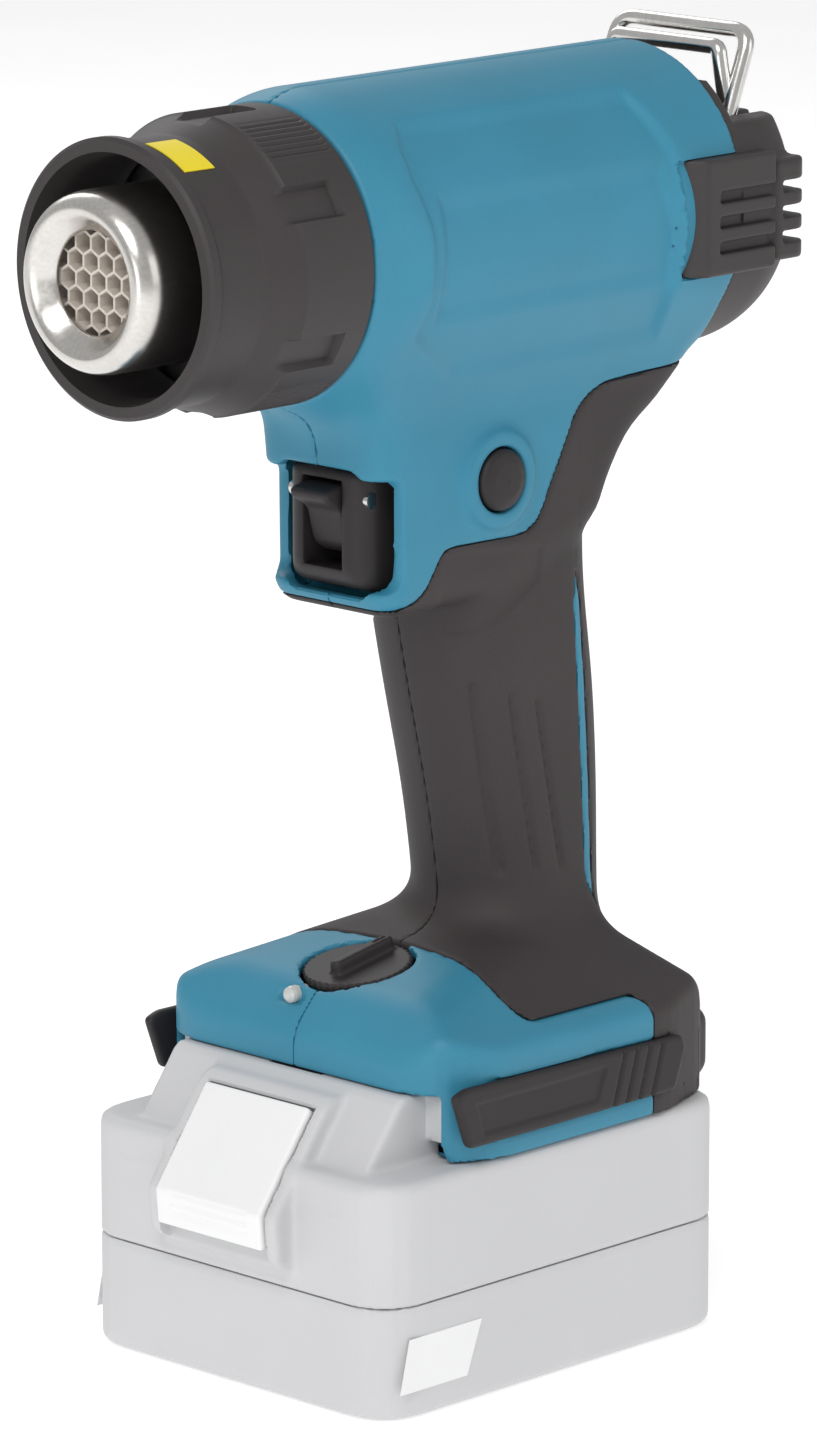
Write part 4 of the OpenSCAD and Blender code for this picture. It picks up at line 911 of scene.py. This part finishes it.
mouldPiece("packLowerCase", packField("lower"), (-50, -43, -1), (50, 43, 24), pack["lowerDetail"] * coarser,
           finish["packGrey"], "battery", ["battery_lower_case"])
mouldPiece("packUpperCase", packField("upper"), (-56, -43, 21), (50, 43, 61), pack["upperDetail"] * coarser,
           finish["packGrey"], "battery", ["battery_upper_case"])
buttonSide = softOutline([(-53.8, 30.2), (-54.4, 37.2), (-40.7, 55.7), (-39.1, 54.3), (-51.6, 36.8),
                          (-51.3, 30.2)], 0.5, 3)


# a slanted plate with three finger grooves
def releaseField(x, y, z):
    f = smax(outline2d(x, z, buttonSide), np.abs(y) - 14.0, 0.8)
    for gz in (33.0, 35.0, 37.0):
        f = f + 0.3 * np.clip(1 - np.abs(z - gz) / 0.5, 0, 1) * (x < -52.5) * ramp(11 - np.abs(y))
    return f


mouldPiece("packReleaseButton", releaseField, (-56, -15, 29), (-37, 15, 57), 0.4, finish["packWhite"],
           "release_button", ["release_button"])
print("battery done")


keptFinish = {
    "plainSteel": ["nose_ring", "heater_tube", "thermal_fuse", "motor_can", "motor_armature",
                   "motor_shaft", "hook_bracket", "switch_plunger", "trigger_spring",
                   "lock_button_spring", "housing_screws", "cover_screws", "release_spring"],
    "ceramic": ["honeycomb_core"],
    "mica": ["mica_sleeve", "mica_former"],
    "heaterWire": ["heating_coil"],
    "darkPlastic": ["air_duct", "motor_mount", "fan_impeller", "fan_shroud", "switch_body", "dial_pot",
                    "terminal_block", "release_latch"],
    "brass": ["motor_bushes", "terminal_blades", "battery_terminals"],
    "wireSteel": ["lever_pin"],
    "board": ["control_board", "battery_board"],
    "lens": ["led_lamp", "led_lens"],
    "leads": ["internal_leads"],
    "cell": ["battery_cells"],
    "whiteLabel": ["battery_label"],
}
for key, names in keptFinish.items():
    for name in names:
        mats = nodes[name].data.materials
        if len(mats) == 0:
            mats.append(finish[key])
        for i in range(len(mats)):
            mats[i] = finish[key]
print("kept pieces finished:", sum(len(names) for names in keptFinish.values()))


# a matrix from three axes and a place
def placement(right, up, back, at):
    rows = [[right[i], up[i], back[i], at[i]] for i in range(3)] + [[0, 0, 0, 1]]
    return Matrix([list(map(float, row)) for row in rows])


view = {"target": (0.6, 0.0, 122.175), "distance": 1493.1, "azimuth": -45.867, "elevation": 12.85,
        "lens": 195.5, "sensor": 36.0, "clip": (0.05, 50.0)}
az, el = math.radians(view["azimuth"]), math.radians(view["elevation"])
back = np.array([math.sin(az) * math.cos(el), -math.cos(az) * math.cos(el), math.sin(el)])
right = np.array([math.cos(az), math.sin(az), 0.0])
up = np.cross(back, right)
camData = bpy.data.cameras.new("camera")
camData.lens = view["lens"]
camData.sensor_width = view["sensor"]
camData.clip_start, camData.clip_end = view["clip"]
camera = bpy.data.objects.new("camera", camData)
bpy.context.scene.collection.objects.link(camera)
place = (np.array(view["target"]) + back * view["distance"]) / 1000.0
camera.matrix_world = placement(right, up, back, place)
bpy.context.scene.camera = camera

room = {"floorHalf": 4, "floorRows": 9, "floorDrop": 0.0002, "floorGlow": 0.38, "light": 0.5, "aimZ": 0.13}
floorMat, nt, sh, co = newMaterial("paleFloor", 0.6, 0.0, 0.3)
nt.links.new(addRamp(nt, addNoise(nt, co, 12.0), [(0.3, (0.92, 0.92, 0.92)), (0.7, (0.95, 0.95, 0.95))]),
             sh.inputs["Base Color"])
sh.inputs["Emission Color"].default_value = (1.0, 1.0, 1.0, 1.0)
sh.inputs["Emission Strength"].default_value = room["floorGlow"]
n = room["floorRows"]
g = np.linspace(-room["floorHalf"], room["floorHalf"], n)
gx, gy = np.meshgrid(g, g, indexing="ij")
i = np.arange(n - 1)[:, None] * n + np.arange(n - 1)[None, :]
mesh = bpy.data.meshes.new("floor")
mesh.from_pydata(np.stack([gx, gy, 0 * gx - room["floorDrop"]], -1).reshape(-1, 3).tolist(), [],
                 np.stack([i, i + n, i + n + 1, i + 1], -1).reshape(-1, 4).tolist())
mesh.materials.append(floorMat)
floor = bpy.data.objects.new("floor", mesh)
bpy.context.scene.collection.objects.link(floor)

lamps = {
    # name: (place in metres, size, watts)
    "keyLamp": ((-0.9, -0.5, 1.3), 0.7, 9.0),
    "sideLamp": ((0.7, -1.2, 0.6), 0.8, 2.0),
    "frontLamp": ((-1.4, -0.6, 0.35), 0.7, 2.5),
    "backLamp": ((0.6, 1.2, 1.1), 0.9, 5.0),
}
for name, (where, size, watts) in lamps.items():
    data = bpy.data.lights.new(name, "AREA")
    data.size = size
    data.energy = watts
    lamp = bpy.data.objects.new(name, data)
    bpy.context.scene.collection.objects.link(lamp)
    at = np.array(where)
    d = at - np.array([0.0, 0.0, room["aimZ"]])
    d /= np.linalg.norm(d)
    side = np.cross([0, 0, 1], d)
    side /= np.linalg.norm(side)
    lamp.matrix_world = placement(side, np.cross(d, side), d, at)
world = bpy.data.worlds.new("softRoom")
world.use_nodes = True
world.node_tree.nodes["Background"].inputs[0].default_value = (1.0, 1.0, 1.0, 1.0)
world.node_tree.nodes["Background"].inputs[1].default_value = room["light"]
bpy.context.scene.world = world
bpy.context.scene.view_settings.view_transform = "Standard"
print("camera, floor and lamps done")
